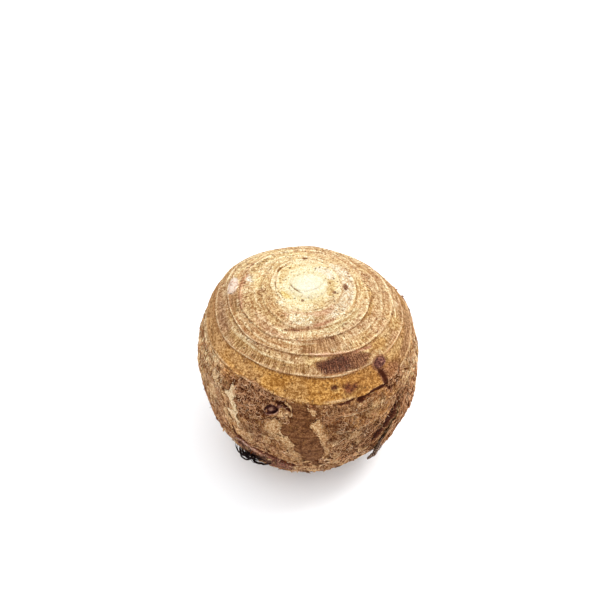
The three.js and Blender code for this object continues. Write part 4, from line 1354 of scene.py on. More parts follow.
def make_skin(material):
    """The whole skin on a grid whose rows follow the rings, closed at both poles."""
    rings = list(CROWN_ROWS)
    for index in range(LAST):
        shares = LOW_BAND_ROWS if index >= FIRST_LOW_BAND else BAND_ROWS
        rings += [index + share for share in shares]
    rings = np.array(rings + [float(LAST)])
    azimuth, ring = np.meshgrid(np.arange(COLUMNS) * 360 / COLUMNS, rings)
    polar = polar_of(azimuth, ring)
    height = relief(azimuth, polar, ring)
    dirs = direction(azimuth, polar)
    points = dirs * (body_radius(dirs) + height)[..., None] + MIDDLE
    points[-1, :, 2] = 0.0
    points[..., 2] = np.maximum(points[..., 2], 0.0)
    top = skin_point(np.array([0.0]), np.array([0.01]))
    points = np.concatenate([points.reshape(-1, 3), top, [[MIDDLE[0], MIDDLE[1], 0.0]]])
    rows = len(rings)
    faces = grid_faces(rows, COLUMNS, wrap=True).tolist()
    crown = rows * COLUMNS
    foot = crown + 1
    faces += end_fans(0, crown - COLUMNS, COLUMNS, crown, foot)
    attributes = skin_attributes(
        np.append(azimuth.ravel(), [0, 0]),
        np.append(polar.ravel(), [0.01, 180]),
        np.append(ring.ravel(), [-1, LAST]),
        np.append(cavity_of(height).ravel(), [0.5, 0.5]),
    )
    piece = new_object("corm_skin", points, faces, material, attributes=attributes)
    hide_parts("corm")
    return piece


# ---------- husk sheets and flakes ----------
HUSKS = [  # name, root line, rim line, lift of the rim, raggedness, share that hangs free
    ("husk_sheet_right",
     [(65, 79), (64, 90), (58, 101), (50.5, 111), (44.5, 121), (40.6, 127)],
     [(56.8, 80), (55, 87.6), (50.8, 94.8), (45.8, 101.6), (41, 114), (38.6, 127.4)],
     [0.3, 0.8, 1.2, 1.5, 2.0, 2.8], 1.0, 0.3),
    ("husk_sheet_right_inner",
     [(66, 84), (60, 95), (53, 104), (48, 112)],
     [(59, 83), (56.6, 90), (52, 97), (47, 105)],
     [0.15, 0.35, 0.5, 0.5], 2.0, 0.0),
    ("husk_sheet_front",
     [(-50, 92), (-43, 95), (-33, 97.5), (-23, 98.5), (-15, 102), (-6, 108)],
     [(-42, 97), (-38, 101), (-31, 102.6), (-23, 103.6), (-17, 106.2), (-8, 114)],
     [0.3, 0.6, 0.7, 0.7, 0.6, 0.3], 0.6, 0.0),
    ("husk_sheet_back",
     [(150, 84), (163, 82), (176, 85)],
     [(152, 94), (165, 98), (174, 95)],
     [0.6, 1.4, 0.7], 1.8, 0.0),
    ("husk_sheet_left",
     [(-112, 96), (-100, 94), (-88, 97)],
     [(-110, 107), (-98, 110), (-89, 107)],
     [0.6, 1.5, 0.8], 1.8, 0.0),
]
SHEET_THICKNESS = 0.35
SHEET_STEPS = 110
SHEET_ROWS = 26


def curve_through(points, shares):
    """Smooth curve through points, read at shares of its length."""
    points = np.array(points, float)
    knots = np.linspace(0, 1, len(points))
    shares = np.asarray(shares, float)
    index = np.clip(np.searchsorted(knots, shares, side="right") - 1, 0, len(points) - 2)
    local = (shares - knots[index]) * (len(points) - 1)
    padded = np.concatenate([2 * points[:1] - points[1:2], points, 2 * points[-1:] - points[-2:-1]])
    p0, p1, p2, p3 = (padded[index + k] for k in range(4))
    t = local.reshape(-1, *([1] * (points.ndim - 1)))
    cubic = (2 * p0 - 5 * p1 + 4 * p2 - p3) * t**2 + (3 * p1 - p0 - 3 * p2 + p3) * t**3
    return 0.5 * (2 * p1 + (p2 - p0) * t + cubic)


def paper_attributes(azimuth, polar, pale):
    """What the husk's material reads at the points of a sheet or flake."""
    light, deep = husk_pair(azimuth, polar, ring_coordinate(azimuth, polar))
    return {
        "place": place_of(azimuth, polar),
        "down": down_grain(azimuth, polar),
        "light": light,
        "deep": deep,
        "pale": pale,
    }


def border_loop(rows, columns):
    """Numbers of the points along the border of a grid, in order."""
    border = [(0, column) for column in range(columns)]
    border += [(row, columns - 1) for row in range(1, rows)]
    border += [(rows - 1, column) for column in range(columns - 2, -1, -1)]
    border += [(row, 0) for row in range(rows - 2, 0, -1)]
    return [row * columns + column for row, column in border]


def shell_faces(rows, columns):
    """Faces of a thick sheet: an outer grid, the inner one after it and the border between."""
    count = rows * columns
    quads = grid_faces(rows, columns, wrap=False)
    faces = quads.tolist() + (quads[:, ::-1] + count).tolist()
    loop = border_loop(rows, columns)
    for here, after in zip(loop, loop[1:] + loop[:1]):
        faces.append([here, after, after + count, here + count])
    return faces


def make_sheet(name, root, rim, lift, ragged, free, material, seed):
    """A sheet of husk that climbs out of the skin to a ragged rim; its last part hangs free."""
    along = np.linspace(0, 1, SHEET_STEPS)
    down = np.linspace(0, 1, SHEET_ROWS)
    start, end = curve_through(root, along), curve_through(rim, along)
    rise = curve_through(lift, along)
    line = np.stack([along * 40, np.zeros_like(along), np.full_like(along, seed)], axis=-1)
    teeth = noise(line, 2.4, seed) + 0.7 * noise(line, 0.8, seed + 1)
    share = down[:, None] * (1 + 0.12 * ragged * teeth)[None, :]
    azimuth = start[:, 0] + share * (end - start)[:, 0]
    polar = start[:, 1] + share * (end - start)[:, 1]
    crumple = 0.3 * fractal(place_of(azimuth, polar), 5.0, seed + 2, 3)
    climb = -0.45 + 1.35 * smoothstep(down, 0.0, 0.35) + 0.1 * smoothstep(down, 0.8, 1)
    loose = smoothstep(along, 1.001 - free, 1.0)[None, :] if free else 0.0
    climb = climb[:, None] + loose * (0.95 - climb[:, None])
    height = climb * rise + crumple * smoothstep(down, 0, 0.3)[:, None]
    thick = SHEET_THICKNESS * (1 - 0.5 * smoothstep(down, 0.6, 1.0))[:, None]
    outer = skin_point(azimuth, polar, height).reshape(-1, 3)
    inner = skin_point(azimuth, polar, height - thick).reshape(-1, 3)
    points = np.concatenate([outer, inner])
    faces = shell_faces(SHEET_ROWS, SHEET_STEPS)
    pale = np.broadcast_to(0.45 * smoothstep(down, 0.8, 1.0)[:, None], azimuth.shape)
    attributes = paper_attributes(
        np.tile(azimuth.ravel(), 2), np.tile(polar.ravel(), 2), np.tile(pale.ravel(), 2))
    return new_object(name, points, faces, material, attributes=attributes)


# Flakes of husk that the eye picks out: corners, and paleness from 0 to 2, where 1 is cream.
FLAKES = [
    ([(1.1, 81.3), (2.4, 78.4), (6.1, 78.0), (7.2, 81.7), (6.2, 87.9), (3.0, 84.8)], 0.95),
    ([(-0.5, 69.3), (2.5, 70.6), (5.4, 74), (3.4, 75), (0.3, 71.8)], 0.85),
    ([(5, 88), (8.5, 87), (10, 92), (8, 96), (6.5, 92)], 0.55),
    ([(8, 97), (10.5, 98), (11, 103), (9, 105.5)], 0.5),
    ([(-20.5, 80), (-16, 79.3), (-13.2, 81), (-13.6, 86.5), (-17, 89), (-21, 86)], 0.6),
    ([(-15, 86.6), (-10.2, 90.4), (-7, 95), (-9, 97.5), (-13, 94), (-16, 90)], 0.45),
    ([(-10, 96), (-6.5, 96.4), (-7.8, 100.3), (-4, 104), (-5, 107), (-9, 104)], 0.4),
    ([(-8, 106), (-3.5, 107.2), (-2.5, 111.5), (-6, 113), (-9.5, 110)], 0.4),
    ([(-14.6, 71.4), (-13, 72), (-12.4, 75), (-11.8, 78), (-13.6, 79), (-15, 77)], 0.8),
    ([(-11.8, 68.6), (-10.4, 68.4), (-8.4, 71), (-8.2, 73.8), (-9.6, 71.4)], 0.8),
    ([(-48, 75.4), (-44.6, 75.6), (-42.6, 69), (-40.2, 69.4), (-40.2, 74.4), (-40.4, 80.2),
      (-43.2, 79)], 2.0),
    ([(-43, 78.8), (-40, 78.4), (-38.4, 81.4), (-36.6, 83), (-39, 84.6), (-41.6, 82.6)], 2.0),
    ([(-46, 85.6), (-41, 84.8), (-36.4, 83.4), (-38, 87.2), (-36.4, 92), (-37.2, 95.4), (-40.6, 90.6)], 1.8),
    ([(-50, 76), (-46.8, 76.6), (-45, 80.6), (-48, 82.4)], 0.8),
    ([(-58, 70), (-54, 69), (-52, 74), (-54, 79), (-57, 76)], 1.5),
    ([(-60, 82), (-56, 81), (-54, 87), (-56, 92), (-59, 89)], 1.3),
    ([(-50, 88), (-46, 88), (-41, 94), (-43, 96), (-48, 93)], 0.6),
    ([(20, 90.5), (24, 89.5), (27, 93), (25, 97), (21, 96)], 0.4),
    ([(24, 97.5), (27, 97), (29, 102), (26, 104)], 0.4),
    ([(12, 105), (16, 103.5), (18, 108), (14, 110.5)], 0.5),
    ([(10, 112), (15, 111), (18, 115), (12, 118)], 0.6),
    ([(28, 108), (33, 108.6), (33, 113), (28, 114)], 0.5),
    ([(33, 74.4), (38, 75), (39, 79), (34, 79.4)], 0.5),
    ([(-24, 93), (-20, 92), (-18, 97), (-22, 98.6)], 0.5),
    ([(-34, 96), (-30, 96), (-28, 100), (-32, 101)], 0.5),
    ([(70, 92), (74, 91), (76, 99), (71, 101)], 0.5),
]
FLAKE_LIFT = 0.5
SCATTERED_FLAKES = 460
FOOT_FLAKES = 170
FLAKE_RINGS = 4
FLAKE_THICKNESS = 0.16


def ragged_outline(corners, spacing, seed):
    """A closed outline through corners in millimetres, cut fine and made ragged."""
    pieces = []
    for start, end in zip(corners, np.roll(corners, -1, axis=0)):
        steps = max(2, int(np.linalg.norm(end - start) / spacing))
        share = np.arange(steps)[:, None] / steps
        pieces.append(start + share * (end - start))
    outline = np.concatenate(pieces)
    spots = np.concatenate([outline, np.full((len(outline), 1), seed * 7.3)], axis=-1)
    out = outline - outline.mean(axis=0)
    jag = 1 + 0.42 * noise(spots, 1.9, seed) + 0.36 * noise(spots, 0.8, seed + 1)
    outline = outline.mean(axis=0) + out * jag[:, None]
    after = np.roll(outline, -1, axis=0)
    turning = (outline[:, 0] * after[:, 1] - outline[:, 1] * after[:, 0]).sum()
    return outline[::-1] if turning > 0 else outline


def flake_spots(corners, spacing, lift, seed):
    """Where the points of one flake lie and how high, and how many are on its outline."""
    points = np.array(corners, float)
    centre_azimuth, centre_polar = points[0, 0], points[:, 1].mean()
    stretch = DEGREE * math.sin(math.radians(centre_polar))
    flat = np.stack([turned(points[:, 0], centre_azimuth) * stretch, points[:, 1] * DEGREE], axis=-1)
    outline = ragged_outline(flat, spacing, seed)
    middle = outline.mean(axis=0)
    shares = np.linspace(0, 1, FLAKE_RINGS + 1)[1:]
    spots = [middle[None, :]] + [middle + share * (outline - middle) for share in shares]
    spots = np.concatenate(spots)
    out = np.concatenate([[0.0], np.repeat(shares, len(outline))])
    way = spots - middle
    side = np.cos(np.arctan2(way[:, 1], way[:, 0]) - seed * 2.4)
    curl = lift * out**2 * np.clip(side, 0, 1) ** 1.5
    azimuth = centre_azimuth + spots[:, 0] / stretch
    return azimuth, spots[:, 1] / DEGREE, 0.5 - 0.34 * out**3 + curl, out, len(outline)


def flake_faces(start, count, around):
    """Upper side, lower side and rim of a flake whose points begin at start."""
    faces = []
    here = np.arange(around)
    after = (here + 1) % around
    for base, flip in ((start, False), (start + count, True)):
        faces.append(grid_faces(FLAKE_RINGS, around, True, base + 1, flip))
        fan = [np.full(around, base), base + 1 + here, base + 1 + after]
        faces.append(np.stack(fan[:1] + fan[:0:-1] if flip else fan, axis=-1))
    rim = start + 1 + (FLAKE_RINGS - 1) * around
    faces.append(np.stack([rim + here, rim + here + count, rim + after + count, rim + after], axis=-1))
    return [face for block in faces for face in block.tolist()]


def corners_round(azimuth, polar, wide, tall, turn):
    """Corners of a flake round a spot, from reaches in millimetres to the side and down."""
    corner_azimuth = azimuth + wide * np.cos(turn) / (DEGREE * sind(polar))
    corner_polar = polar + tall * np.sin(turn) / DEGREE
    return np.stack([corner_azimuth, corner_polar], axis=-1)


def scattered_flakes(random, count):
    """Corners, paleness and lift of flakes spread over the husk, away from the named ones."""
    azimuth = random.uniform(-180, 180, 4 * count)
    polar = random.uniform(68, 142, 4 * count)
    crowded = (np.abs(azimuth) < 52) & (polar < 104)
    chosen = husk_cover(azimuth, polar, ring_coordinate(azimuth, polar)) > 1.0
    chosen &= gap_depth(azimuth, polar) < 0.05
    chosen &= ~crowded | (random.uniform(size=4 * count) < 0.35)
    flakes = []
    for k in np.flatnonzero(chosen)[:count]:
        sides = random.integers(5, 8)
        turn = np.sort(random.uniform(0, 2 * np.pi, sides)) + np.arange(sides) * 0.01
        size = random.choice([1.1, 1.7, 2.6], p=[0.5, 0.35, 0.15]) * random.uniform(0.5, 1.1, sides)
        corners = corners_round(azimuth[k], polar[k], 0.75 * size, 1.35 * size, turn)
        pale = random.choice([0.05, 0.35, 0.8], p=[0.5, 0.32, 0.18])
        flakes.append((corners, pale, random.uniform(0.1, 0.6)))
    return flakes


def foot_flakes(random, count):
    """Larger curled flakes and crumbs low on the body, where the husk frays."""
    flakes = []
    for _ in range(count):
        azimuth, polar = random.uniform(-180, 180), random.uniform(113, 133)
        if inside_outline(azimuth, polar, RED_OUTLINE) > -1.5:
            continue
        turn = np.arange(6) * np.pi / 3 + random.uniform(0, 1)
        size = random.uniform(0.8, 2.6) * random.uniform(0.5, 1.1, 6)
        corners = corners_round(azimuth, polar, 1.3 * size, 0.8 * size, turn)
        flakes.append((corners, random.choice([0.0, 0.5, 0.95]), random.uniform(0.3, 1.3)))
    return flakes


def make_flakes(name, flakes, material, spacing, seed):
    """Many flakes in one piece; flakes is a list of corners, paleness and lift."""
    parts = [flake_spots(corners, spacing, lift, seed + 2 * number)
             for number, (corners, _, lift) in enumerate(flakes)]
    azimuth = np.concatenate([part[0] for part in parts])
    polar = np.concatenate([part[1] for part in parts])
    height = np.concatenate([part[2] for part in parts])
    out = np.concatenate([part[3] for part in parts])
    thick = FLAKE_THICKNESS + 0.6 * (1 - out)
    top = skin_point(azimuth, polar, height)
    under = top - direction(azimuth, polar) * thick[:, None]
    points, order, faces = [], [], []
    first = start = 0
    for spots in parts:
        count = len(spots[0])
        own = np.arange(first, first + count)
        points += [top[own], under[own]]
        order += [own, own]
        faces += flake_faces(start, count, spots[4])
        first += count
        start += 2 * count
    order = np.concatenate(order)
    pale = np.repeat([flake[1] for flake in flakes], [2 * len(part[0]) for part in parts])
    attributes = paper_attributes(azimuth[order], polar[order], pale)
    return new_object(name, np.concatenate(points), faces, material, attributes=attributes)


# ---------- fibres ----------
def spindle(share, end):
    """Thickness along a strand: 1 in its middle, thinner toward both ends."""
    return np.sqrt(np.sin(np.pi * (end + (1 - 2 * end) * share)))


def tube_mesh(paths, radii, sides):
    """Points and faces of tapered tubes. paths is (tubes, steps, 3), radii (tubes, steps)."""
    tubes, steps, _ = paths.shape
    tangent = np.gradient(paths, axis=1)
    tangent /= np.linalg.norm(tangent, axis=-1, keepdims=True) + 1e-9
    out = paths - MIDDLE
    out /= np.linalg.norm(out, axis=-1, keepdims=True)
    across = np.cross(tangent, out)
    across /= np.linalg.norm(across, axis=-1, keepdims=True) + 1e-9
    up = np.cross(across, tangent)
    turn = np.arange(sides) * 2 * np.pi / sides + np.pi / 2
    wide = radii[:, :, None, None]
    points = (
        paths[:, :, None, :]
        + wide * np.cos(turn)[None, None, :, None] * across[:, :, None, :]
        + wide * np.sin(turn)[None, None, :, None] * up[:, :, None, :]
    )
    tube = np.arange(tubes)[:, None, None]
    step = np.arange(steps - 1)[None, :, None]
    side = np.arange(sides)[None, None, :]
    here = (tube * steps + step) * sides + side
    beside = (tube * steps + step) * sides + (side + 1) % sides
    quads = np.stack([here, here + sides, beside + sides, beside], axis=-1).reshape(-1, 4)
    first = (np.arange(tubes) * steps * sides)[:, None] + np.arange(sides)
    last = ((np.arange(tubes) * steps + steps - 1) * sides)[:, None] + np.arange(sides)[::-1]
    return points.reshape(-1, 3), quads.tolist() + first.tolist() + last.tolist()


def lying_paths(azimuth, polar, heading, length, bend, lift, steps):
    """Lines that lie on the skin. heading is from straight down, in degrees."""
    share = np.linspace(0, 1, steps)[None, :]
    turn = np.radians(heading[:, None] + bend[:, None] * (share - 0.5))
    step = length[:, None] / (steps - 1)
    x = np.cumsum(np.sin(turn) * step, axis=1)
    y = np.cumsum(np.cos(turn) * step, axis=1)
    p = np.clip(polar[:, None] + y / DEGREE, 3, 150)
    a = azimuth[:, None] + x / (DEGREE * sind(p))
    height = lift[:, None] * np.sin(np.pi * np.clip(share, 0.08, 0.92)) - 0.02
    return a, p, skin_point(a, p, height)


def make_fibres(
    name, material, azimuth, polar, heading, length, bend, lift, radius, shades, steps=4
):
    """One piece of many thin three-sided fibres that lie on the skin."""
    a, p, paths = lying_paths(azimuth, polar, heading, length, bend, lift, steps)
    share = np.linspace(0, 1, steps)[None, :]
    radii = radius[:, None] * (0.35 + 0.65 * np.sin(np.pi * (0.12 + 0.76 * share)))
    points, faces = tube_mesh(paths, radii, 3)
    attributes = {
        "shade": np.repeat(shades, steps * 3),
        "place": place_of(np.repeat(a.reshape(-1), 3), np.repeat(p.reshape(-1), 3)),
    }
    return new_object(name, points, faces, material, attributes=attributes)


def two_tone(random, count, dark, pale, pale_share):
    """Shades of fibres, some dark and some pale."""
    middle = np.where(random.uniform(size=count) < pale_share, pale, dark)
    return np.clip(random.normal(middle, 0.1), 0.03, 0.95)


def clear_skin(azimuth, polar):
    """True away from the scars, the gaps and the buds."""
    clear = gap_depth(azimuth, polar) < 0.1
    for a, p, length, width, _ in SCARS:
        clear &= spot_share(azimuth, polar, 1.5 * length, 1.5 * width, a, p) == 0
    for a, p, length, width, _, _ in BUDS:
        clear &= spot_share(azimuth, polar, 1.3 * length, 1.3 * width, a, p) == 0
    for outline in [outline for outline, _ in FLAKES] + [RED_OUTLINE]:
        clear &= inside_outline(azimuth, polar, outline) < 0.1
    return clear


FUZZ_HAIRS = 8100  # on each half of the husk
COARSE_HAIRS = 1900  # of these, how many are longer and thicker


def husk_fuzz(name, material, random, centre):
    """Short hairs in every direction on the half of the husk round an azimuth."""
    tries = 2 * FUZZ_HAIRS
    azimuth = centre + random.uniform(-90, 90, tries)
    polar = np.degrees(np.arccos(random.uniform(-0.82, 0.42, tries)))
    cover = husk_cover(azimuth, polar, ring_coordinate(azimuth, polar))
    keep = np.flatnonzero((cover > 0.2) & clear_skin(azimuth, polar))[:FUZZ_HAIRS]
    azimuth, polar, total = azimuth[keep], polar[keep], len(keep)
    thick = np.arange(total) < COARSE_HAIRS
    return make_fibres(
        name, material, azimuth, polar, random.normal(0, 55, total),
        length=random.uniform(1.0, 4.0, total) + 1.2 * thick,
        bend=random.normal(0, 45, total) * (1 + thick),
        lift=random.uniform(0.02, 0.3, total) + 0.2 * thick,
        radius=random.uniform(0.05, 0.11, total) + 0.05 * thick,
        shades=two_tone(random, total, 0.26, 0.78, 0.55) + 0.06 * thick,
    )


def crown_strings(material, random):
    """Short strokes of old leaf base, just above the rings of the upper side."""
    count = 4200
    azimuth = random.uniform(-180, 180, count)
    index = random.choice([2, 3, 4, 5], count, p=[0.12, 0.28, 0.34, 0.26])
    polar = polar_of(azimuth, index - random.uniform(0.12, 0.62, count))
    heading = random.normal(0, 16, count) + 10 * np.sin(np.radians(azimuth * 2))
    return make_fibres(
        "crown_strings", material, azimuth, polar, heading,
        length=random.uniform(0.8, 3.0, count),
        bend=random.normal(0, 12, count),
        lift=random.uniform(0.01, 0.08, count),
        radius=random.uniform(0.05, 0.1, count),
        shades=two_tone(random, count, 0.42, 0.8, 0.5),
        steps=3,
    )


HAIR_NESTS = [  # azimuth, polar, spread round and down in degrees, hairs
    (-29, 71, 12, 9, 850), (51.5, 67, 6, 6, 300), (-19, 74, 8, 6, 140),
    (-25, 103, 10, 3, 160), (20, 114, 15, 4, 220),
    (140, 96, 10, 8, 460), (-140, 88, 10, 7, 460), (70, 96, 8, 10, 380),
]


def tangled_hairs(material, random):
    """Matted curly hairs in the tangle, round the rough scar and along the gaps."""
    azimuths, polars = [], []
    for azimuth, polar, wide, tall, count in HAIR_NESTS:
        azimuths.append(azimuth + random.normal(0, wide / 2, count))
        polars.append(polar + random.normal(0, tall / 2, count))
    azimuth, polar = np.concatenate(azimuths), np.concatenate(polars)
    keep = clear_skin(azimuth, polar) & (ring_coordinate(azimuth, polar) > 6.05)
    azimuth, polar = azimuth[keep], polar[keep]
    count = len(azimuth)
    return make_fibres(
        "tangled_hairs", material, azimuth, polar, random.uniform(-180, 180, count),
        length=random.uniform(2.0, 5.5, count),
        bend=random.choice([-1, 1], count) * random.uniform(60, 320, count),
        lift=random.uniform(0.1, 0.7, count),
        radius=random.uniform(0.12, 0.25, count),
        shades=two_tone(random, count, 0.2, 0.82, 0.6),
        steps=9,
    )


STRINGS_PAST_RIM = 0.45  # share of the sheet's width by which strings at its top cross the fold


def flap_strings(material, random):
    """Long strings that run down the torn sheet on the right, HUSKS[0]."""
    count, steps = 300, 7
    root, rim, lift = HUSKS[0][1:4]
    start = random.uniform(0.0, 0.75, count)[:, None]
    along = start + random.uniform(0.04, 0.16, count)[:, None] * np.linspace(0, 1, steps)
    along = np.clip(along, 0, 1)
    down = random.uniform(0.35, 0.97, count)[:, None]
    down = down + random.normal(0, 0.5, (count, 1)) * (along - start) / 0.2
    past_rim = 1 + STRINGS_PAST_RIM * smoothstep(along, 0.4, 0.12)
    down = (np.clip(down, 0.3, 0.99) * past_rim)[..., None]
    edge = curve_through(root, along.ravel()).reshape(count, steps, 2)
    spots = edge + down * (curve_through(rim, along.ravel()).reshape(count, steps, 2) - edge)
    rise = curve_through(lift, along.ravel()).reshape(count, steps)
    height = 0.95 * rise * smoothstep(down[..., 0], 0.0, 0.4) + random.uniform(0.0, 0.45, count)[:, None]
    paths = skin_point(spots[..., 0], spots[..., 1], height)
    share = np.linspace(0, 1, steps)
    radii = random.uniform(0.07, 0.16, count)[:, None] * spindle(share, 0.08)
    points, faces = tube_mesh(paths, radii, 4)
    attributes = {
        "shade": np.repeat(two_tone(random, count, 0.25, 0.78, 0.55), steps * 4),
        "place": points,
    }
    return new_object("flap_strings", points, faces, material, attributes=attributes)


def loose_hairs(material, random):
    """Thin hairs and root ends that stand off the husk."""
    count, steps = 520, 6
    azimuth = random.uniform(-180, 180, count)
    polar = np.degrees(np.arccos(random.uniform(-0.75, 0.35, count)))
    share = np.linspace(0, 1, steps)
    out, round_way, down = skin_ways(azimuth, polar)
    way = out + random.normal(0, 0.8, count)[:, None] * round_way
    way = way + random.uniform(0.5, 1.8, count)[:, None] * down
    way /= np.linalg.norm(way, axis=-1, keepdims=True)
    paths = grown_paths(azimuth, polar, way, random.uniform(0.8, 2.4, count), 0.2, steps, random)
    radii = random.uniform(0.05, 0.1, count)[:, None] * (1 - 0.7 * share)
    points, faces = tube_mesh(paths, radii, 3)
    shades = np.repeat(two_tone(random, count, 0.3, 0.6, 0.4), steps * 3)
    attributes = {"shade": shades, "place": points}
    return new_object("loose_hairs", points, faces, material, attributes=attributes)


def skin_ways(azimuth, polar):
    """Unit vectors out of, round and down the body."""
    out = direction(azimuth, polar)
    round_way = np.stack([cosd(azimuth), sind(azimuth), np.zeros_like(azimuth)], axis=-1)
    return out, round_way, np.cross(out, round_way) * -1


def skin_frame(azimuth, polar, extra=0.0):
    """Origin and unit vectors round, out and down on the skin."""
    step = 0.6  # degrees
    azimuths = azimuth + step * np.array([0, 1, -1, 0, 0])
    polars = polar + step * np.array([0, 0, 0, 1, -1])
    dirs = direction(azimuths, polars)
    spots = dirs * body_radius(dirs)[:, None] + MIDDLE
    round_way = spots[1] - spots[2]
    down = spots[3] - spots[4]
    round_way /= np.linalg.norm(round_way)
    down /= np.linalg.norm(down)
    out = np.cross(down, round_way)
    origin = spots[0] + out * extra
    return origin, round_way, out, down


def grown_paths(azimuth, polar, way, length, curl, steps, random, sink=0.4):
    """Slightly curling lines that grow out of the skin."""
    share = np.linspace(0, 1, steps)
    base = skin_point(azimuth, polar, np.full(len(azimuth), -sink))
    bend = random.normal(0, curl, (len(azimuth), 3))
    paths = base[:, None, :] + (length[:, None] * share)[..., None] * way[:, None, :]
    paths = paths + (length[:, None] * share**2)[..., None] * bend[:, None, :]
    paths[..., 2] = np.maximum(paths[..., 2], 0.5)
    return paths


# The darkest shades, on the inner wall, are partly the scar's own dark colour and partly painted shade in the
# pit.
CUP_PROFILE = [  # share of the radius, height in mm, shade of colour
    (1.32, -0.7, 0.4), (1.22, 0.1, 0.45), (1.08, 0.5, 0.45), (0.94, 0.5, 0.22), (0.86, 0.2, 0.06),
    (0.74, -0.4, 0.02), (0.56, -0.8, 0.1), (0.44, -0.8, 0.4), (0.14, -0.7, 0.52),
]
CUP_TILT = 0.5
CUP_COLUMNS = 64


def make_cups(material):
    """The rim and inside of the round scars where side shoots broke off."""
    points, faces, shades = [], [], []
    start = 0
    for number, (azimuth, polar, length, width, _) in enumerate(SCARS):
        origin, round_way, out, down = skin_frame(azimuth, polar)
        turn = np.arange(CUP_COLUMNS) * 2 * np.pi / CUP_COLUMNS
        circle = np.stack([np.cos(turn) * 4, np.sin(turn) * 4, np.full(CUP_COLUMNS, number * 5.0)], -1)
        rows = []
        for row, (share, height, tone) in enumerate(CUP_PROFILE):
            bumps = noise(circle + [0, 0, 0.5 * row], 1.6, 120) + 0.4 * noise(circle, 0.7, 121)
            radius = share * (1 + 0.14 * bumps)
            x = radius * np.cos(turn + CUP_TILT) * length / 2
            y = radius * np.sin(turn) * width / 2
            lifted = height + 0.3 * bumps
            rows.append(origin + x[:, None] * round_way + y[:, None] * down + lifted[:, None] * out)
            # painted light: the rim lighter on one side and the inner wall on the other, as light falls
            lit = 0.3 * np.cos(turn - 0.6) if share > 0.9 else 0.18 * np.cos(turn - 2.4)
            shades.append(np.clip(tone + 0.12 * bumps + lit, 0, 1))
        count = len(CUP_PROFILE) * CUP_COLUMNS
        points += rows + [[origin - 0.6 * out, origin - 2.6 * out]]
        shades.append([0.7, 0.2])
        faces += grid_faces(len(CUP_PROFILE), CUP_COLUMNS, True, start).tolist()
        bottom = start + count
        under = bottom + 1
        faces += end_fans(start, bottom - CUP_COLUMNS, CUP_COLUMNS, under, bottom)
        start += count + 2
    points, shades = np.concatenate(points), np.concatenate(shades)
    attributes = {"shade": shades, "place": points}
    piece = new_object("root_scars", points, faces, material, attributes=attributes)
    turn_out(piece)
    return piece


LIP_STEP = 1.2  # degrees of azimuth between the cross-sections of a lip
LIP_SIDES = 6


def make_lips(material):
    """The pale raised edges of old leaf bases, as thin cords half sunk in the skin."""
    cords, shades, places = [], [], []
    for number, (line, radius, paleness) in enumerate(LIPS):
        knots = np.array(line, float)
        knots[:, 0] = np.unwrap(knots[:, 0], period=360)
        span = abs(knots[-1, 0] - knots[0, 0])
        steps = max(12, int(span / LIP_STEP))
        spots = curve_through(knots, np.linspace(0, 1, steps))
        azimuth, polar = spots[:, 0], spots[:, 1]
        course = ring_grain(azimuth, np.full(steps, number * 1.0), 20.0)
        polar = polar + 0.22 * noise(course, 3.0, 70 + number)
        taper = np.sqrt(np.sin(np.pi * np.clip(np.linspace(0, 1, steps), 0.02, 0.98)))
        wobble = 0.75 + 0.45 * noise(course, 1.3, 90 + number)
        radii = radius * taper * np.clip(wobble, 0.25, 1.3)
        path = skin_point(azimuth, polar, 0.35 * radii)
        cords.append(tube_mesh(path[None, :, :], radii[None, :], LIP_SIDES))
        shades.append(paleness * np.repeat(0.88 + 0.12 * wobble, LIP_SIDES))
        places.append(place_of(np.repeat(azimuth, LIP_SIDES), np.repeat(polar, LIP_SIDES)))
    points, faces = joined(cords)
    attributes = {
        "shade": np.clip(np.concatenate(shades), 0, 1),
        "place": np.concatenate(places),
    }
    return new_object("ring_lips", points, faces, material, attributes=attributes)


# ---------- buds, tuft and stubs ----------
BUD_COLUMNS = 48
BUD_ROWS = 26


def make_bud(number, bud, material):
    """A bud of overlapping scales, lying in its hollow."""
    azimuth, polar, length, width, tall, pale = bud
    origin, round_way, out, down = skin_frame(azimuth, polar, -0.75)
    turn = np.arange(BUD_COLUMNS) * 2 * np.pi / BUD_COLUMNS
    angle, rise = np.meshgrid(turn, np.linspace(0, 1, BUD_ROWS))
    spiral = (rise * 3.2 + angle / (2 * np.pi)) % 1.0
    scale_step = 0.1 * spiral**3 * (1 - rise)
    spots = np.stack([np.cos(angle) * 3, np.sin(angle) * 3, rise * 4 + number * 9], axis=-1)
    lumps = 0.1 * noise(spots, 1.6, 91) + 0.05 * noise(spots, 0.7, 92)
    radius = np.sqrt(np.clip(1 - rise**2.0, 0, 1)) * (0.5 + scale_step + lumps)
    x = radius * np.cos(angle) * length
    z = radius * np.sin(angle) * width + 0.1 * rise * width
    y = rise * (tall + 0.75) * (1 + lumps)
    points = origin + x[..., None] * round_way + z[..., None] * down + y[..., None] * out
    tip = origin + out * (tall + 0.75) + down * (0.1 * width)
    points = np.concatenate([points.reshape(-1, 3), [tip, origin - out]])
    faces = grid_faces(BUD_ROWS, BUD_COLUMNS, True).tolist()
    top = len(points) - 2
    low = len(points) - 1
    faces += end_fans(0, top - BUD_COLUMNS, BUD_COLUMNS, low, top)
    tips = np.append((0.25 + 0.75 * spiral * (1 - 0.5 * rise)).ravel(), [0.9, 0.2])
    attributes = {"place": points, "tip": tips, "pale": np.full(len(points), pale)}
    piece = new_object(f"bud_{number}", points, faces, material, attributes=attributes)
    turn_out(piece)
    return piece


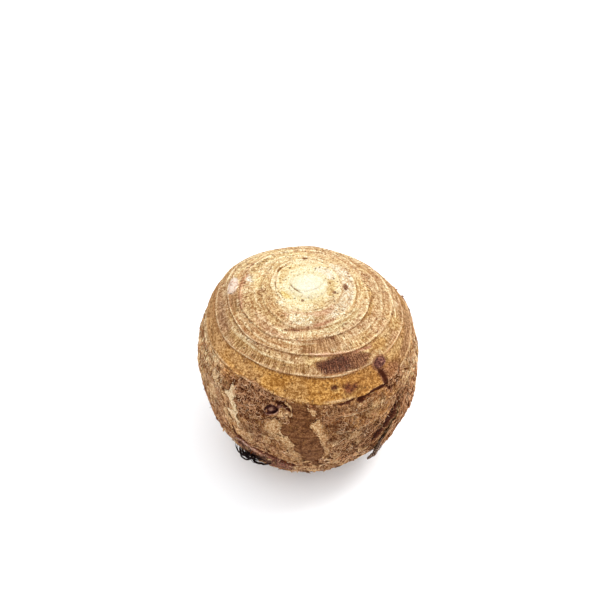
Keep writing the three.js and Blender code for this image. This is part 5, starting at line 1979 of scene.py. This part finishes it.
ROOT_END = [  # azimuth, polar, lift
    (43.4, 108.5, 0.6), (42, 113, 1.6), (40.6, 118, 2.4), (39, 123, 3.0), (37.8, 127, 3.2),
]
ROOT_END_RADIUS = 1.0
ROOT_END_COLOURS = [(0.36, (40, 24, 20)), (0.5, (104, 76, 62)), (0.62, (196, 168, 146))]
TUFT_SEED = 12
TUFT_STRANDS = [(7, 0.34, 0.58), (13, 0.14, 0.3)]  # how many, thinnest and thickest radius
TUFT_LINE = [  # azimuth and polar along the tuft's middle
    (-48, 124), (-40, 123), (-34, 121.4), (-29, 120.4), (-23, 121.6), (-15, 124),
]
TUFT_STEPS = 30
TUFT_SIDES = 6
TUFT_COLOURS = [(0.4, (8, 3, 4)), (0.55, (26, 14, 14)), (0.72, (92, 64, 58))]


def make_tuft(material):
    """A clump of wavy black roots that lie over each other along the body."""
    random = np.random.default_rng(TUFT_SEED)
    share = np.linspace(0, 1, TUFT_STEPS)
    strands = []
    for count, thinnest, thickest in TUFT_STRANDS:
        first = random.uniform(-48, -34, count)
        last = first + random.uniform(9, 15, count)
        azimuth = first[:, None] + (last - first)[:, None] * share
        turn = random.uniform(0, 6.3, count)[:, None] + random.uniform(4, 8, count)[:, None] * share
        sway = random.uniform(0.5, 1.3, count)[:, None]
        middle = np.interp(azimuth, *zip(*TUFT_LINE))
        polar = middle + random.uniform(-2.4, 2.0, count)[:, None] + sway * np.sin(turn)
        lift = 0.4 + random.uniform(0.2, 3.3, count)[:, None] * np.sin(np.pi * share) ** 0.7
        height = lift + 0.35 * sway * np.cos(turn)
        paths = skin_point(azimuth, polar, height)
        radii = random.uniform(thinnest, thickest, count)[:, None] * spindle(share, 0.03)
        strands.append(tube_mesh(paths, radii, TUFT_SIDES))
    points, faces = joined(strands)
    return new_object("root_tuft", points, faces, material, attributes={"place": points})


def make_root_end(material):
    """The dark root end that hangs along the tip of the torn husk on the right."""
    share = np.linspace(0, 1, 24)
    spots = curve_through(ROOT_END, share)
    bumps = noise(np.stack([share * 20, 0 * share, 0 * share], axis=-1), 1.7, 150)
    path = skin_point(spots[:, 0], spots[:, 1], spots[:, 2])
    radii = ROOT_END_RADIUS * spindle(share, 0.06) * (1 + 0.2 * bumps)
    points, faces = tube_mesh(path[None, :, :], radii[None, :], 12)
    return new_object("root_end", points, faces, material, attributes={"place": points})


def make_stubs(material, random):
    """Broken-off rootlets, single, under the rings of the lower half."""
    count, steps, sides = 150, 5, 6
    azimuth = np.arange(count) * 137.508 % 360 - 180
    ring = 6 + random.integers(0, 7, count)
    polar = polar_of(azimuth, ring + random.uniform(0.15, 0.6, count))
    way = direction(azimuth, polar) + random.normal(0, 0.35, (count, 3)) + [0, 0, -0.35]
    way /= np.linalg.norm(way, axis=-1, keepdims=True)
    paths = grown_paths(azimuth, polar, way, random.uniform(0.8, 2.0, count), 0.1, steps, random)
    share = np.linspace(0, 1, steps)
    radii = random.uniform(0.16, 0.42, count)[:, None] * (1 - 0.35 * share)
    points, faces = tube_mesh(paths, radii, sides)
    shades = np.clip(random.normal(0.3, 0.14, count), 0.02, 0.7)
    attributes = {"shade": np.repeat(shades, steps * sides), "place": points}
    return new_object("root_stubs", points, faces, material, attributes=attributes)


# ---------- stage ----------
def make_floor():
    """The white ground, which belongs to the stage."""
    bpy.ops.mesh.primitive_plane_add(size=6.0, location=(0, 0, 0))
    floor = bpy.context.object
    floor.name = "floor"
    floor.data.materials.append(floor_material())


def add_area(name, location, size, power, colour=(1, 1, 1)):
    """A round lamp that looks at the middle of the body."""
    light = bpy.data.lights.new(name, "AREA")
    light.shape = "DISK"
    light.size = size
    light.energy = power
    light.color = colour
    lamp = bpy.data.objects.new(name, light)
    lamp.location = location
    aim = Vector(MIDDLE * MM) - Vector(location)
    lamp.rotation_mode = "QUATERNION"
    lamp.rotation_quaternion = aim.to_track_quat("-Z", "Y")
    bpy.context.scene.collection.objects.link(lamp)


def make_light():
    """White light from all round and one soft lamp, shown without a film look."""
    world = bpy.data.worlds.new("soft_room")
    world.use_nodes = True
    background = world.node_tree.nodes["Background"]
    background.inputs["Color"].default_value = (1.0, 1.0, 1.0, 1.0)
    background.inputs["Strength"].default_value = SKY_STRENGTH
    bpy.context.scene.world = world
    add_area("key", KEY_PLACE, KEY_SIZE, KEY_POWER)
    bpy.context.scene.view_settings.view_transform = "Standard"
    bpy.context.scene.view_settings.look = "None"


def make_camera():
    """The camera that sees the body's middle at its pixel, along the line of sight."""
    column, row = MIDDLE_PIXEL
    half = FRAME_PIXELS / 2
    tilt = math.atan((row - half) / FOCAL_PIXELS)
    pan = math.atan((column - half) / FOCAL_PIXELS * math.cos(tilt))
    sight = math.radians(SIGHT_ELEVATION)
    axis = sight - tilt
    forward = Vector((0, math.cos(axis), -math.sin(axis)))
    right = Vector((1, 0, 0))
    up = right.cross(forward)
    ahead = forward * math.cos(pan) - right * math.sin(pan)
    side = right * math.cos(pan) + forward * math.sin(pan)
    place = Vector(MIDDLE) - SIGHT_DISTANCE * Vector((0, math.cos(sight), -math.sin(sight)))
    data = bpy.data.cameras.new("camera")
    data.sensor_width = SENSOR_WIDTH
    data.lens = SENSOR_WIDTH * FOCAL_PIXELS / FRAME_PIXELS
    data.clip_start = 0.01
    camera = bpy.data.objects.new("camera", data)
    turn = Matrix((side, up, -ahead)).transposed().to_4x4()
    camera.matrix_world = Matrix.Translation(place * MM) @ turn
    bpy.context.scene.collection.objects.link(camera)
    bpy.context.scene.camera = camera


def build():
    """Everything in the scene; the shared random draws are made in this order."""
    random = np.random.default_rng(SEED)
    make_camera()
    make_light()
    make_floor()
    make_skin(skin_material())
    paper = husk_material()
    for number, sheet in enumerate(HUSKS):
        make_sheet(*sheet, paper, 300 + 10 * number)
    named = [(corners, pale, FLAKE_LIFT) for corners, pale in FLAKES]
    make_flakes("husk_flakes", named, paper, spacing=0.35, seed=400)
    crumbs = scattered_flakes(random, SCATTERED_FLAKES)
    make_flakes("husk_crumbs", crumbs, paper, spacing=0.85, seed=600)
    frayed = foot_flakes(random, FOOT_FLAKES)
    make_flakes("foot_flakes", frayed, paper, spacing=0.6, seed=2600)
    fibre = fibre_material("taro_fibre", FIBRE_COLOURS)
    make_lips(fibre)
    husk_fuzz("husk_fuzz_front", fibre, random, centre=0)
    husk_fuzz("husk_fuzz_back", fibre, random, centre=180)
    crown_strings(fibre, random)
    tangled_hairs(fibre, random)
    flap_strings(fibre, random)
    loose_hairs(fibre, random)
    make_cups(fibre_material("taro_scar", SCAR_COLOURS))
    purple = bud_material()
    for number, bud in enumerate(BUDS, start=1):
        make_bud(number, bud, purple)
    make_tuft(tuft_material("taro_tuft", TUFT_COLOURS))
    make_root_end(tuft_material("taro_root_end", ROOT_END_COLOURS))
    make_stubs(fibre, random)


build()
